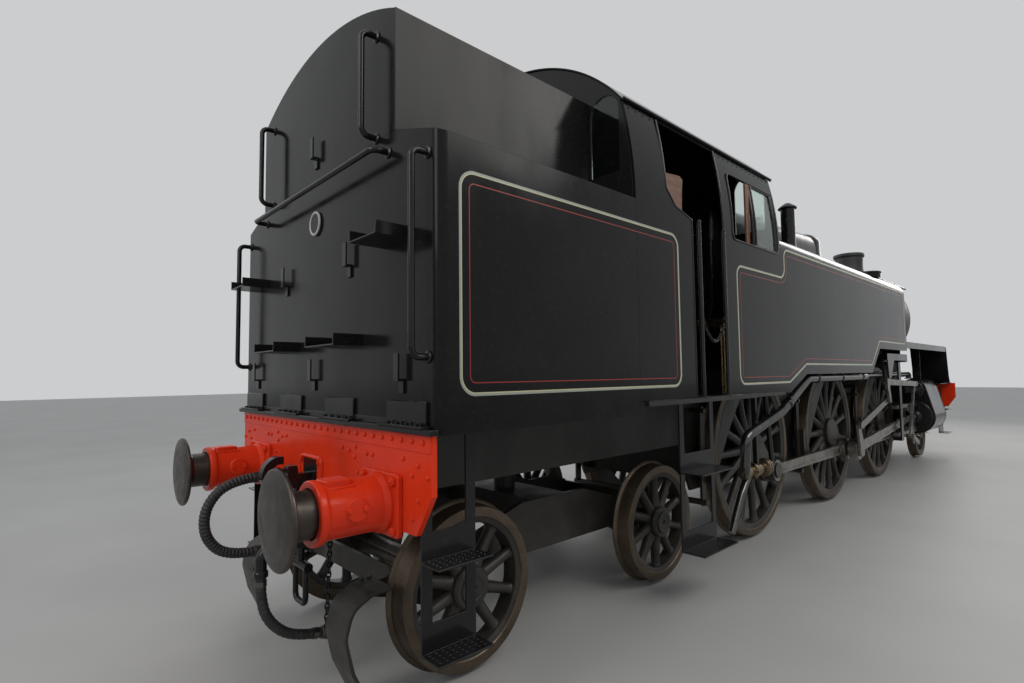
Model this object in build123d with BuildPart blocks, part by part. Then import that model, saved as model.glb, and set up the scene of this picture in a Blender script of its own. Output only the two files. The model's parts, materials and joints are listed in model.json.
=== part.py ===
"""Steam tank locomotive: pony truck, six coupled wheels, trailing bogie, side tanks and bunker.

Millimetres. X runs forward, Y to the left and Z up. The origin is midway between the
buffer faces, on the centre line, level with the lowest points of the wheel flanges.
"""
import os
from collections import namedtuple
from math import atan2, cos, degrees, hypot, radians, sin, sqrt, tan

from build123d import *

os.makedirs("parts", exist_ok=True)

# Overall sizes
BEAM_X = 6289.0          # centre to the outer face of a buffer beam
BUFFER_REACH = 542.0     # beam face to buffer face
BODY_HALF = 1335.0       # centre line to the outside of tanks, cab and bunker
FLANGE = 28.0            # wheel flange height, so also rail top above the origin
SEAT = 0.3               # gap left at curved or separate seats
PIN_PLAY = 0.08          # radial clearance of a pin or shaft in its hole
SIDES = (1, -1)          # left, right

# Wheelbase
MAIN_X = 407.0
COUPLED_GAP = 2337.0
BOGIE_GAP = 1778.0       # trailing coupled axle to leading bogie axle
BOGIE_BASE = 1981.0
PONY_GAP = 2794.0        # leading coupled axle to pony axle
TRAIL_X = MAIN_X - COUPLED_GAP
LEAD_X = MAIN_X + COUPLED_GAP
PONY_X = LEAD_X + PONY_GAP
BOGIE_LEAD_X = TRAIL_X - BOGIE_GAP
BOGIE_TRAIL_X = BOGIE_LEAD_X - BOGIE_BASE
BOGIE_X = (BOGIE_LEAD_X + BOGIE_TRAIL_X) / 2

# Wheels
WHEEL_BACK = 680.0       # centre line to the back of a tyre
TYRE_WIDTH = 140.0
WHEEL_FACE = WHEEL_BACK + TYRE_WIDTH
Wheel = namedtuple("Wheel", "tread rim_depth spokes spoke_root spoke_tip hub journal")
DRIVER = Wheel(863.6, 120.0, 15, 92.0, 62.0, 185.0, 100.0)
CARRIER = Wheel(457.0, 100.0, 10, 70.0, 52.0, 125.0, 78.0)
DRIVER_Z = DRIVER.tread + FLANGE
CARRIER_Z = CARRIER.tread + FLANGE
HUB_BACK = WHEEL_BACK - 6.0
HUB_FACE = WHEEL_FACE + 28.0

# Cranks and rods. Angles turn from forwards towards up, seen from the right side
CRANK = 355.6
RIGHT_CRANK_ANGLE = -40.7
LEFT_CRANK_ANGLE = RIGHT_CRANK_ANGLE + 90.0
CRANK_ANGLE = {1: LEFT_CRANK_ANGLE, -1: RIGHT_CRANK_ANGLE}
PIN_R = 62.0
BIG_PIN_R = 76.0
ROD_INNER = 860.0        # coupling rod bosses
ROD_OUTER = 945.0
PIN_END = 962.0
CONN_LENGTH = 2997.0
CONN_Y = 1030.0          # cylinder and connecting rod line
CONN_THICK = 44.0
BOSS_THICK = 108.0
RETURN_Y = 1092.0        # inner face of return crank, combination lever and union link
RETURN_THICK = 30.0
ECC_Y = 1129.0           # inner face of eccentric and radius rods
ECC_THICK = 27.0
LINK_Y = 1160.0          # inner face of the expansion link
LINK_THICK = 34.0

# Frames
FRAME_OUT = 650.0
FRAME_THICK = 28.0
FRAME_IN = FRAME_OUT - FRAME_THICK
FRAME_LOW = 600.0
FRAME_ARCH = 1040.0      # underside over the bogie and pony wheels
BOX_HALF = 120.0         # axlebox half length
BOX_TALL = 280.0
BOX_INNER = 584.0
BOX_OUTER = 664.0

# Buffer beams
BEAM_THICK = 30.0
BEAM_TOP = FLANGE + 1407.0
BEAM_TAPER_Z = FLANGE + 1132.0
BEAM_LOW = FLANGE + 938.0
BEAM_LOW_HALF = 1169.0
BEAM_HALF = 1296.0
BUFFER_Y = 870.0
BUFFER_Z = FLANGE + 1054.0
BUFFER_HEAD_R = 222.0
STOCK_R = 133.0
STOCK_LENGTH = 380.0
PLUNGER_R = 110.0

# Bunker and cab
BUNKER_X = -BEAM_X
BUNKER_REAR = BUNKER_X + 15.0   # outside of the bunker's rear sheet
CAB_REAR = BUNKER_X + 1573.0
CAB_FRONT = BUNKER_X + 3899.0
SHEET = 10.0
BODY_LOW = FLANGE + 1407.0
WAIST = FLANGE + 2813.0
SHOULDER_TOP = FLANGE + 2935.0
UPPER_HALF = 956.0       # half width of the upper bunker
UPPER_TOP = FLANGE + 3585.0
BUNKER_CROWN_R = 2100.0
BUNKER_CROWN = FLANGE + 3811.0
CORNER_R = 55.0
GUTTER_Y = 1250.0
ROOF_R = 1600.0
ROOF_CROWN = FLANGE + 4122.0
ROOF_THICK = 12.0
FLOOR_TOP = FLANGE + 1490.0
FLOOR_THICK = 30.0
DOOR_REAR = BUNKER_X + 2285.0
DOOR_FRONT = BUNKER_X + 2785.0
DOOR_REAR_HIGH = BUNKER_X + 1950.0
DOOR_STEP_Z = FLANGE + 2860.0
DOOR_CORNER = 110.0      # slanted corner over the step in the doorway's rear edge
DOOR_SLOPE = 60.0        # drop of that step's front end
DOOR_TOP = FLANGE + 3480.0
WINDOW_CORNER = 45.0
SIDE_WINDOW = (BUNKER_X + 2940.0, BUNKER_X + 3855.0, FLANGE + 2765.0, FLANGE + 3335.0)

# Boiler
BOILER_Z = FLANGE + 2680.0
BARREL_FRONT = 3850.0
BARREL_REAR = 116.0
BARREL_FRONT_R = 778.0
BARREL_REAR_R = 850.0
BARREL_KNEE = 2500.0
FIREBOX_REAR = CAB_FRONT - 280.0
FIREBOX_HALF = 842.0
FIREBOX_FOOT_HALF = 598.0
FIREBOX_FOOT = 1250.0
SMOKEBOX_R = 830.0
SMOKEBOX_FRONT = 5230.0
SMOKEBOX_WALL = 36.0
DOOR_HOLE_R = 620.0
DOOR_R = 668.0
CHIMNEY_X = 4560.0
CHIMNEY_TOP = FLANGE + 3975.0
DOME_X = 1900.0
DOME_TOP = FLANGE + 3930.0

# Side tanks and running plates
TANK_FRONT = 2290.0
TANK_INNER = 886.0
TANK_FLOOR = FLANGE + 1800.0
TANK_CORNER_R = 175.0
PLATE_TOP = FLANGE + 2106.0
PLATE_THICK = 12.0
VALANCE = 96.0
PLATE_INNER = 760.0
PLATE_OUTER = 1322.0
PLATE_FRONT = 5330.0
PLATFORM_TOP = BEAM_TOP + 10.0

# Cylinders
CYL_REAR = 4080.0
CYL_FRONT = 5000.0
CYL_R = 298.0
VALVE_R = 185.0
VALVE_Z = DRIVER_Z + 470.0
GLAND = 70.0
PISTON_ROD_R = 42.0
PISTON_ROD_REACH = 1065.0


def block(x, y, z, mode=Mode.ADD):
    """Add a box given by its low and high place along each axis."""
    with Locations(((x[0] + x[1]) / 2, (y[0] + y[1]) / 2, (z[0] + z[1]) / 2)):
        Box(abs(x[1] - x[0]), abs(y[1] - y[0]), abs(z[1] - z[0]), mode=mode)


def side_plate(points, y, mode=Mode.ADD):
    """Extrude an outline of X and Z points from y[0] to y[1]."""
    with BuildSketch(Plane.XZ.offset(-y[0])) as outline:
        with BuildLine():
            Polyline(*points, close=True)
        make_face()
    extrude(outline.sketch, amount=y[0] - y[1], mode=mode)


def cross_plate(points, x, mode=Mode.ADD):
    """Extrude an outline of Y and Z points from x[0] to x[1]."""
    with BuildSketch(Plane.YZ.offset(x[0])) as outline:
        with BuildLine():
            Polyline(*points, close=True)
        make_face()
    extrude(outline.sketch, amount=x[1] - x[0], mode=mode)


def shaft(centre, radius, y, mode=Mode.ADD):
    """Add a round bar across the engine at X and Z centre, from y[0] to y[1]."""
    with BuildSketch(Plane.XZ.offset(-y[0])) as circle:
        with Locations(centre):
            Circle(radius)
    extrude(circle.sketch, amount=y[0] - y[1], mode=mode)


def barrel(centre, radius, x, mode=Mode.ADD):
    """Add a round bar along the engine at Y and Z centre, from x[0] to x[1]."""
    with BuildSketch(Plane.YZ.offset(x[0])) as circle:
        with Locations(centre):
            Circle(radius)
    extrude(circle.sketch, amount=x[1] - x[0], mode=mode)


def post(centre, radius, z, mode=Mode.ADD):
    """Add an upright round bar at X and Y centre, from z[0] to z[1]."""
    with BuildSketch(Plane.XY.offset(z[0])) as circle:
        with Locations(centre):
            Circle(radius)
    extrude(circle.sketch, amount=z[1] - z[0], mode=mode)


def turned(profile, centre, direction, mode=Mode.ADD):
    """Revolve points of radius and distance about the axis through centre."""
    across = (0, 0, 1) if direction != (0, 0, 1) else (0, -1, 0)
    radial = Vector(*direction).cross(Vector(*across))
    with BuildSketch(Plane(origin=centre, x_dir=radial, z_dir=across)) as section:
        with BuildLine():
            Polyline(*profile, close=True)
        make_face()
    revolve(section.sketch, axis=Axis(centre, direction), mode=mode)


def rod(points, radius, bend):
    """Sweep a round bar along straight runs joined by bends of one radius."""
    with BuildLine() as path:
        if len(points) > 2:
            FilletPolyline(*points, radius=bend)
        else:
            Line(*points)
    with BuildSketch(Plane(origin=path.line @ 0, z_dir=path.line % 0)) as section:
        Circle(radius)
    sweep(section.sketch, path=path.line)


def link(ends, radii, y):
    """Add a flat link with round ends whose flanks are tangent to both."""
    with BuildSketch(Plane.XZ.offset(-y[0])) as outline:
        for centre, radius in zip(ends, radii):
            with Locations(centre):
                Circle(radius)
        make_hull()
    extrude(outline.sketch, amount=y[0] - y[1])


def mirrored_sorted(low, high, side):
    """Give a pair of Y limits on the left or right side, low one first."""
    return (low, high) if side > 0 else (-high, -low)


def crank_point(centre, angle, radius):
    """Give X and Z of a crankpin at an angle about an axle."""
    return (centre[0] + radius * cos(radians(angle)), centre[1] + radius * sin(radians(angle)))


def meet(first, first_reach, second, second_reach, turn):
    """Give the point that lies at both reaches from two points in the X, Z plane."""
    dx = second[0] - first[0]
    dz = second[1] - first[1]
    apart = hypot(dx, dz)
    along = (first_reach**2 - second_reach**2 + apart**2) / (2 * apart)
    off = turn * sqrt(first_reach**2 - along**2)
    return (first[0] + (dx * along - dz * off) / apart, first[1] + (dz * along + dx * off) / apart)


COUPLED_X = (TRAIL_X, MAIN_X, LEAD_X)
CROSSHEAD_X = {}
for side in SIDES:
    pin = crank_point((MAIN_X, DRIVER_Z), CRANK_ANGLE[side], CRANK)
    CROSSHEAD_X[side] = pin[0] + sqrt(CONN_LENGTH**2 - (pin[1] - DRIVER_Z)**2)
STROKE_REAR = MAIN_X + CONN_LENGTH - CRANK
STROKE_FRONT = MAIN_X + CONN_LENGTH + CRANK

# Main frames: two plates, cross stretchers, bolster with the bogie pin, and the pony pin
ARCH_SLOPE = 190.0
FRAME_REAR_DROP = BOGIE_LEAD_X + CARRIER.tread + 2 * FLANGE + 75.0
FRAME_FRONT_DROP = CYL_FRONT + 40.0
FRAME_OUTLINE = (
    (BUNKER_X + BEAM_THICK, FRAME_ARCH),
    (FRAME_REAR_DROP, FRAME_ARCH),
    (FRAME_REAR_DROP + ARCH_SLOPE, FRAME_LOW),
    (FRAME_FRONT_DROP - ARCH_SLOPE, FRAME_LOW),
    (FRAME_FRONT_DROP, FRAME_ARCH),
    (BEAM_X - BEAM_THICK, FRAME_ARCH),
    (BEAM_X - BEAM_THICK, BEAM_TOP),
    (BUNKER_X + BEAM_THICK, BEAM_TOP),
)
STRETCHER = 26.0
BOGIE_PIN_R = 85.0
PONY_PIN_R = 60.0
PONY_PIN_X = 3960.0
# Columns: rear face X, low Z, high Z
STRETCHERS = (
    (BUNKER_X + 420.0, FRAME_ARCH, BEAM_TOP - 90.0),
    (-2860.0, FRAME_LOW + 60.0, FIREBOX_FOOT - 60.0),
    (720.0, FRAME_LOW + 60.0, BEAM_TOP - 120.0),
    (1500.0, FRAME_LOW + 60.0, BEAM_TOP - 120.0),
    (2330.0, FRAME_LOW + 60.0, BEAM_TOP - 120.0),
    (3300.0, FRAME_LOW + 60.0, BEAM_TOP - 120.0),
    (CYL_REAR, FRAME_LOW, BEAM_TOP - 20.0),
    (CYL_FRONT - 226.0, FRAME_LOW, BEAM_TOP - 20.0),
    (BEAM_X - 420.0, FRAME_ARCH, BEAM_TOP - 90.0),
)
with BuildPart() as main_frames:
    for side in SIDES:
        side_plate(FRAME_OUTLINE, mirrored_sorted(FRAME_IN, FRAME_OUT, side))
    for axle in COUPLED_X:
        box_x = (axle - BOX_HALF - SEAT, axle + BOX_HALF + SEAT)
        box_z = (DRIVER_Z - BOX_TALL / 2 - SEAT, DRIVER_Z + BOX_TALL / 2 + SEAT)
        block(box_x, (-FRAME_OUT - 1, FRAME_OUT + 1), box_z, mode=Mode.SUBTRACT)
    for rear, low, high in STRETCHERS:
        block((rear, rear + STRETCHER), (-FRAME_IN, FRAME_IN), (low, high))
    block((BOGIE_X - 300, BOGIE_X + 300), (-FRAME_IN, FRAME_IN), (FRAME_ARCH + 10, FRAME_ARCH + 70))
    post((BOGIE_X, 0), BOGIE_PIN_R, (CARRIER_Z + 210, FRAME_ARCH + 12))
    block((PONY_PIN_X - 160, CYL_REAR + 1), (-FRAME_IN, FRAME_IN), (FRAME_LOW, FRAME_LOW + 30))
    post((PONY_PIN_X, 0), PONY_PIN_R, (CARRIER_Z - 60, FRAME_LOW + 2))
main_frames.part.label = "main_frames"
export_step(main_frames.part, "parts/main_frames.step")

with BuildPart() as axleboxes:
    for axle in COUPLED_X:
        for side in SIDES:
            box_y = mirrored_sorted(BOX_INNER, BOX_OUTER, side)
            box_z = (DRIVER_Z - BOX_TALL / 2, DRIVER_Z + BOX_TALL / 2)
            block((axle - BOX_HALF, axle + BOX_HALF), box_y, box_z)
            shaft((axle, DRIVER_Z), DRIVER.journal + PIN_PLAY, box_y, mode=Mode.SUBTRACT)
axleboxes.part.label = "axleboxes"
export_step(axleboxes.part, "parts/axleboxes.step")

# Buffer beams, buffers and drawgear, the same at both ends
BEAM_OUTLINE = (
    (-BEAM_HALF, BEAM_TOP),
    (-BEAM_HALF, BEAM_TAPER_Z),
    (-BEAM_LOW_HALF, BEAM_LOW),
    (BEAM_LOW_HALF, BEAM_LOW),
    (BEAM_HALF, BEAM_TAPER_Z),
    (BEAM_HALF, BEAM_TOP),
)
ENDS = (1, -1)           # front, rear


def along(end, near, far):
    """Give X limits measured outwards from a buffer beam's outer face."""
    return tuple(sorted((end * (BEAM_X + near), end * (BEAM_X + far))))


with BuildPart() as buffer_beams:
    for end in ENDS:
        cross_plate(BEAM_OUTLINE, along(end, -BEAM_THICK, 0))
buffer_beams.part.label = "buffer_beams"
export_step(buffer_beams.part, "parts/buffer_beams.step")

STOCK_BASE_HALF = 185.0  # half width of the buffer's base plate
STOCK_BASE_TALL_HALF = 150.0
STOCK_BASE_THICK = 28.0
STOCK_LIP = 16.0         # rolled lip and foot outside the stock
STOCK_PROFILE = (
    (PLUNGER_R + PIN_PLAY, 0),
    (STOCK_R + STOCK_LIP, 0),
    (STOCK_R + STOCK_LIP, STOCK_BASE_THICK + 16),
    (STOCK_R, STOCK_BASE_THICK + 40),
    (STOCK_R, STOCK_LENGTH - 42),
    (STOCK_R + STOCK_LIP, STOCK_LENGTH - 36),
    (STOCK_R + STOCK_LIP, STOCK_LENGTH),
    (PLUNGER_R + PIN_PLAY, STOCK_LENGTH),
)
with BuildPart() as buffer_stocks:
    for end in ENDS:
        for side in SIDES:
            middle = side * BUFFER_Y
            base_y = (middle - STOCK_BASE_HALF, middle + STOCK_BASE_HALF)
            base_z = (BUFFER_Z - STOCK_BASE_TALL_HALF, BUFFER_Z + STOCK_BASE_TALL_HALF)
            block(along(end, 0, STOCK_BASE_THICK), base_y, base_z)
            bore = PLUNGER_R + PIN_PLAY
            barrel((middle, BUFFER_Z), bore, along(end, 0, STOCK_BASE_THICK), mode=Mode.SUBTRACT)
            turned(STOCK_PROFILE, (end * BEAM_X, middle, BUFFER_Z), (end, 0, 0))
            pad_z = (BUFFER_Z + STOCK_R - 14, BUFFER_Z + STOCK_R + 12)
            block(along(end, STOCK_LENGTH / 2, STOCK_LENGTH - 54), (middle - 60, middle + 60), pad_z)
buffer_stocks.part.label = "buffer_stocks"
export_step(buffer_stocks.part, "parts/buffer_stocks.step")

HEAD_FLAT_R = 80.0
HEAD_PROFILE = (
    (0, 40),
    (PLUNGER_R, 40),
    (PLUNGER_R, BUFFER_REACH - 62),
    (PLUNGER_R + 34, BUFFER_REACH - 40),
    (BUFFER_HEAD_R, BUFFER_REACH - 34),
    (BUFFER_HEAD_R, BUFFER_REACH - 16),
    (BUFFER_HEAD_R - 60, BUFFER_REACH - 5),
    (HEAD_FLAT_R, BUFFER_REACH),
    (0, BUFFER_REACH),
)
with BuildPart() as buffer_heads:
    for end in ENDS:
        for side in SIDES:
            turned(HEAD_PROFILE, (end * BEAM_X, side * BUFFER_Y, BUFFER_Z), (end, 0, 0))
buffer_heads.part.label = "buffer_heads"
export_step(buffer_heads.part, "parts/buffer_heads.step")

HOOK_THICK = 62.0
HOOK_SHANK = 84.0        # height of the hook's shank
HOOK_R = 105.0
HOOK_REACH = 200.0       # beam to the middle of the hook's bend
HOOK_RISE = 50.0         # that middle above the buffers' middle
BOWL_R = 46.0
BOWL_RISE = 14.0         # bowl's middle above the bend's
MOUTH_INNER = 18.0       # mouth's outer side back from the bend's middle
MOUTH_LOW = 42.0         # mouth's underside above the bend's middle
PLATE_HALF = 95.0        # hook casting's plate, half width and half height
PLATE_TALL_HALF = 136.0
SHACKLE_R = 17.0
SHACKLE_Y = 76.0
SHACKLE_BEND = 40.0
SHACKLE_OUT = 62.0       # distance of the shackle's hole from the beam
SHACKLE_DROP = 12.0      # that hole's middle below the buffers' middle
PLATE_PROUD = 14.0       # hook casting's plate, thickness
NUT_DROP = 300.0         # upper nut of the screw below the buffers' middle
NUT_R = 27.0
NUT_REACH = 40.0         # nuts' ends past the shackle's legs
SCREW_R = 22.0
SCREW_SPAN = 200.0       # upper nut to lower nut
SCREW_END = 10.0         # screw past the lower nut's middle
LINK_DROP = 420.0        # lower link's bend below the upper nut
with BuildPart() as drawgear:
    for end in ENDS:
        plate_z = (BUFFER_Z - PLATE_TALL_HALF, BUFFER_Z + PLATE_TALL_HALF)
        block(along(end, 0, PLATE_PROUD), (-PLATE_HALF, PLATE_HALF), plate_z)
        bend_z = BUFFER_Z + HOOK_RISE
        with BuildSketch(Plane.XZ.offset(HOOK_THICK / 2)) as hook:
            with Locations((end * (BEAM_X + HOOK_REACH / 2), BUFFER_Z)):
                Rectangle(HOOK_REACH, HOOK_SHANK)
            with Locations((end * (BEAM_X + HOOK_REACH), bend_z)):
                Circle(HOOK_R)
            with Locations((end * (BEAM_X + HOOK_REACH), bend_z + BOWL_RISE)):
                Circle(BOWL_R, mode=Mode.SUBTRACT)
            mouth_x = BEAM_X + HOOK_REACH - MOUTH_INNER - HOOK_R / 2
            with Locations((end * mouth_x, bend_z + MOUTH_LOW + HOOK_R / 2)):
                Rectangle(HOOK_R, HOOK_R, mode=Mode.SUBTRACT)
            with Locations((end * (BEAM_X + SHACKLE_OUT), BUFFER_Z - SHACKLE_DROP)):
                Circle(SHACKLE_R + PIN_PLAY, mode=Mode.SUBTRACT)
        extrude(hook.sketch, amount=-HOOK_THICK)
        out = end * (BEAM_X + SHACKLE_OUT)
        top = BUFFER_Z - SHACKLE_DROP
        nut = BUFFER_Z - NUT_DROP
        low_nut = nut - SCREW_SPAN
        nut_y = (-SHACKLE_Y - NUT_REACH, SHACKLE_Y + NUT_REACH)
        rod(((out, -SHACKLE_Y, nut), (out, -SHACKLE_Y, top), (out, SHACKLE_Y, top),
             (out, SHACKLE_Y, nut)), SHACKLE_R, SHACKLE_BEND)
        shaft((out, nut), NUT_R, nut_y)
        post((out, 0), SCREW_R, (low_nut - SCREW_END, nut))
        shaft((out, low_nut), NUT_R, nut_y)
        rod(((out, -SHACKLE_Y, low_nut), (out, -SHACKLE_Y, nut - LINK_DROP), (out, SHACKLE_Y, nut - LINK_DROP),
             (out, SHACKLE_Y, low_nut)), SHACKLE_R, SHACKLE_BEND)
drawgear.part.label = "drawgear"
export_step(drawgear.part, "parts/drawgear.step")

# Bunker: water tank below, with a sloping shoulder and a hopper for the coal, open bunker above
HOPPER_HALF = 700.0
HOPPER_OUTLINE = (
    (BUNKER_X + 90, SHOULDER_TOP + 1),
    (BUNKER_X + 90, SHOULDER_TOP - 160),
    (CAB_REAR - 320, FLANGE + 1930),
    (CAB_REAR + 1, FLANGE + 1860),
    (CAB_REAR + 1, SHOULDER_TOP + 1),
)
TANK_SECTION = (
    (-BODY_HALF, BODY_LOW),
    (BODY_HALF, BODY_LOW),
    (BODY_HALF, WAIST),
    (UPPER_HALF, SHOULDER_TOP),
    (-UPPER_HALF, SHOULDER_TOP),
    (-BODY_HALF, WAIST),
)
with BuildPart() as bunker_tank:
    cross_plate(TANK_SECTION, (BUNKER_REAR, CAB_REAR))
    rear_corners = bunker_tank.edges().filter_by(Axis.Z).group_by(Axis.X)[0]
    fillet(rear_corners, radius=CORNER_R)
    side_plate(HOPPER_OUTLINE, (-HOPPER_HALF, HOPPER_HALF), mode=Mode.SUBTRACT)
bunker_tank.part.label = "bunker_tank"
export_step(bunker_tank.part, "parts/bunker_tank.step")

with BuildPart() as coal_bunker:
    for side in SIDES:
        wall_y = mirrored_sorted(UPPER_HALF - SHEET, UPPER_HALF, side)
        block((BUNKER_REAR, CAB_REAR), wall_y, (SHOULDER_TOP, UPPER_TOP))
    with BuildSketch(Plane.YZ.offset(BUNKER_REAR)) as rear_sheet:
        with Locations((0, BUNKER_CROWN - BUNKER_CROWN_R)):
            Circle(BUNKER_CROWN_R)
        with Locations((0, (SHOULDER_TOP + BUNKER_CROWN) / 2)):
            Rectangle(2 * UPPER_HALF, BUNKER_CROWN - SHOULDER_TOP, mode=Mode.INTERSECT)
    extrude(rear_sheet.sketch, amount=SHEET)
coal_bunker.part.label = "coal_bunker"
export_step(coal_bunker.part, "parts/coal_bunker.step")

# Cab: sides with doorway and window, bulkheads under the roof, roof, floor
WALL = 20.0
ROOF_CENTRE = ROOF_CROWN - ROOF_R
ROOF_INNER_R = ROOF_R - ROOF_THICK
SIDE_TOP = ROOF_CENTRE + sqrt((ROOF_INNER_R - SEAT)**2 - GUTTER_Y**2)


def side_section(inset):
    """Draw the edge of the cab side in Y and Z, set in from the outside by inset."""
    low = (BODY_HALF - inset, FLOOR_TOP)
    waist = (BODY_HALF - inset, WAIST)
    top = (GUTTER_Y - inset, SIDE_TOP)
    return Line(low, waist), TangentArc(waist, top, tangent=(0, 1))


DOORWAY = (
    (DOOR_REAR, FLOOR_TOP - 1),
    (DOOR_FRONT, FLOOR_TOP - 1),
    (DOOR_FRONT, DOOR_TOP),
    (DOOR_REAR_HIGH, DOOR_TOP),
    (DOOR_REAR_HIGH, DOOR_STEP_Z + DOOR_CORNER),
    (DOOR_REAR_HIGH + DOOR_CORNER, DOOR_STEP_Z),
    (DOOR_REAR, DOOR_STEP_Z - DOOR_SLOPE),
)
for side, name in ((1, "cab_side_left"), (-1, "cab_side_right")):
    with BuildPart() as cab_side:
        with BuildSketch(Plane.YZ.offset(CAB_REAR + SEAT)) as sheet:
            with BuildLine() as edge:
                outer = side_section(0)
                inner = side_section(WALL)
                Line(outer[0] @ 0, inner[0] @ 0)
                Line(outer[1] @ 1, inner[1] @ 1)
            make_face()
        extrude(amount=CAB_FRONT - CAB_REAR - 2 * SEAT)
        side_plate(DOORWAY, (GUTTER_Y - 60, BODY_HALF + 10), mode=Mode.SUBTRACT)
        pane_x, pane_z = SIDE_WINDOW[:2], SIDE_WINDOW[2:]
        block(pane_x, (GUTTER_Y - 60, BODY_HALF + 10), pane_z, mode=Mode.SUBTRACT)
        fillet(cab_side.edges().filter_by(Axis.Y).filter_by_position(Axis.Z, *pane_z), radius=WINDOW_CORNER)
        if side < 0:
            mirror(about=Plane.XZ, mode=Mode.REPLACE)
    cab_side.part.label = name
    export_step(cab_side.part, f"parts/{name}.step")


def bulkhead(x):
    """Fill the cab's cross-section inside the sides and roof, from x[0] to x[1]."""
    inset = WALL + SEAT
    with BuildSketch(Plane.YZ.offset(x[0])) as outline:
        with BuildLine():
            edge = side_section(inset)
            crown = (0, ROOF_CENTRE + ROOF_INNER_R - SEAT)
            Line(edge[1] @ 1, (GUTTER_Y - inset, crown[1]))
            Line((GUTTER_Y - inset, crown[1]), crown)
            Line(crown, (0, FLOOR_TOP))
            Line((0, FLOOR_TOP), edge[0] @ 0)
        make_face()
        mirror(about=Plane.YZ)
        with Locations((0, ROOF_CENTRE)):
            Circle(ROOF_INNER_R - SEAT, mode=Mode.INTERSECT)
    extrude(outline.sketch, amount=x[1] - x[0])


REAR_WINDOW = (975.0, 1212.0, FLANGE + 3035.0, FLANGE + 3470.0)   # y, y, sill z, spring z
SHOVEL_HALF = 310.0
SHOVEL_LOW = FLANGE + 1870.0
SHOVEL_TOP = FLANGE + 2410.0
FRONT_WINDOW = (930.0, 1212.0, FLANGE + 3035.0, FLANGE + 3455.0)


def arched_windows(window, x):
    """Cut a round-topped window through a bulkhead on each side."""
    low_y, high_y, sill, spring = window
    half = (high_y - low_y) / 2
    with BuildSketch(Plane.YZ.offset(x[0])) as holes:
        for side in SIDES:
            with Locations((side * (low_y + half), (sill + spring) / 2)):
                Rectangle(2 * half, spring - sill)
            with Locations((side * (low_y + half), spring)):
                Circle(half)
    extrude(holes.sketch, amount=x[1] - x[0], mode=Mode.SUBTRACT)


REAR_WALL = (CAB_REAR + SEAT, CAB_REAR + SEAT + WALL)
with BuildPart() as cab_rear_plate:
    bulkhead(REAR_WALL)
    arched_windows(REAR_WINDOW, REAR_WALL)
    shovel_z = (SHOVEL_LOW, SHOVEL_TOP)
    block(REAR_WALL, (-SHOVEL_HALF, SHOVEL_HALF), shovel_z, mode=Mode.SUBTRACT)
cab_rear_plate.part.label = "cab_rear_plate"
export_step(cab_rear_plate.part, "parts/cab_rear_plate.step")

with BuildPart() as cab_roof:
    roof_edge = ROOF_CENTRE + sqrt(ROOF_R**2 - (GUTTER_Y + 14)**2)
    with BuildSketch(Plane.YZ.offset(CAB_REAR - 12)) as arch:
        with Locations((0, ROOF_CENTRE)):
            Circle(ROOF_R)
            Circle(ROOF_INNER_R, mode=Mode.SUBTRACT)
        with Locations((0, roof_edge + ROOF_R / 2)):
            Rectangle(2 * ROOF_R, ROOF_R, mode=Mode.INTERSECT)
    extrude(arch.sketch, amount=CAB_FRONT - CAB_REAR + 70)
    vent_x = (CAB_REAR + 640, CAB_REAR + 1500)
    block(vent_x, (-420, 420), (ROOF_CROWN - 60, ROOF_CROWN + 26))
    with BuildSketch(Plane.YZ.offset(vent_x[0])) as below:
        with Locations((0, ROOF_CENTRE)):
            Circle(ROOF_INNER_R)
    extrude(below.sketch, amount=vent_x[1] - vent_x[0], mode=Mode.SUBTRACT)
cab_roof.part.label = "cab_roof"
export_step(cab_roof.part, "parts/cab_roof.step")

FOOT_EDGE = 1370.0
FOOT_EDGE_FRONT = DOOR_FRONT + 435.0
WHEEL_BOX = (656.0, 896.0)       # inner and outer Y of the box over each trailing wheel
WHEEL_BOX_REAR = FIREBOX_REAR - 30.0
WHEEL_BOX_TOP = FLANGE + 1700.0
BOX_SHEET = 6.0
with BuildPart() as cab_floor:
    floor_z = (FLOOR_TOP - FLOOR_THICK, FLOOR_TOP)
    block((CAB_REAR + SEAT, CAB_FRONT - SEAT), (-BODY_HALF, BODY_HALF), floor_z)
    block((CAB_REAR + 40, FOOT_EDGE_FRONT), (-FOOT_EDGE, FOOT_EDGE), floor_z)
    notch_x = (WHEEL_BOX_REAR, CAB_FRONT + WALL)
    block(notch_x, (-WHEEL_BOX[1], WHEEL_BOX[1]), floor_z, mode=Mode.SUBTRACT)
    for side in SIDES:
        outside_y = mirrored_sorted(*WHEEL_BOX, side)
        inside_y = mirrored_sorted(WHEEL_BOX[0] + BOX_SHEET, WHEEL_BOX[1] - BOX_SHEET, side)
        box_x = (WHEEL_BOX_REAR - BOX_SHEET, CAB_FRONT - WALL - SEAT)
        block(box_x, outside_y, (floor_z[0], WHEEL_BOX_TOP))
        block((WHEEL_BOX_REAR, CAB_FRONT), inside_y, (floor_z[0] - 1, WHEEL_BOX_TOP - BOX_SHEET),
              mode=Mode.SUBTRACT)
cab_floor.part.label = "cab_floor"
export_step(cab_floor.part, "parts/cab_floor.step")

# Boiler: firebox with a flat top, tapered barrel, smokebox on its saddle
FIREBOX_TOP = BOILER_Z + BARREL_REAR_R
FIREBOX_TOP_REAR = FIREBOX_TOP - 90.0


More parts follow.
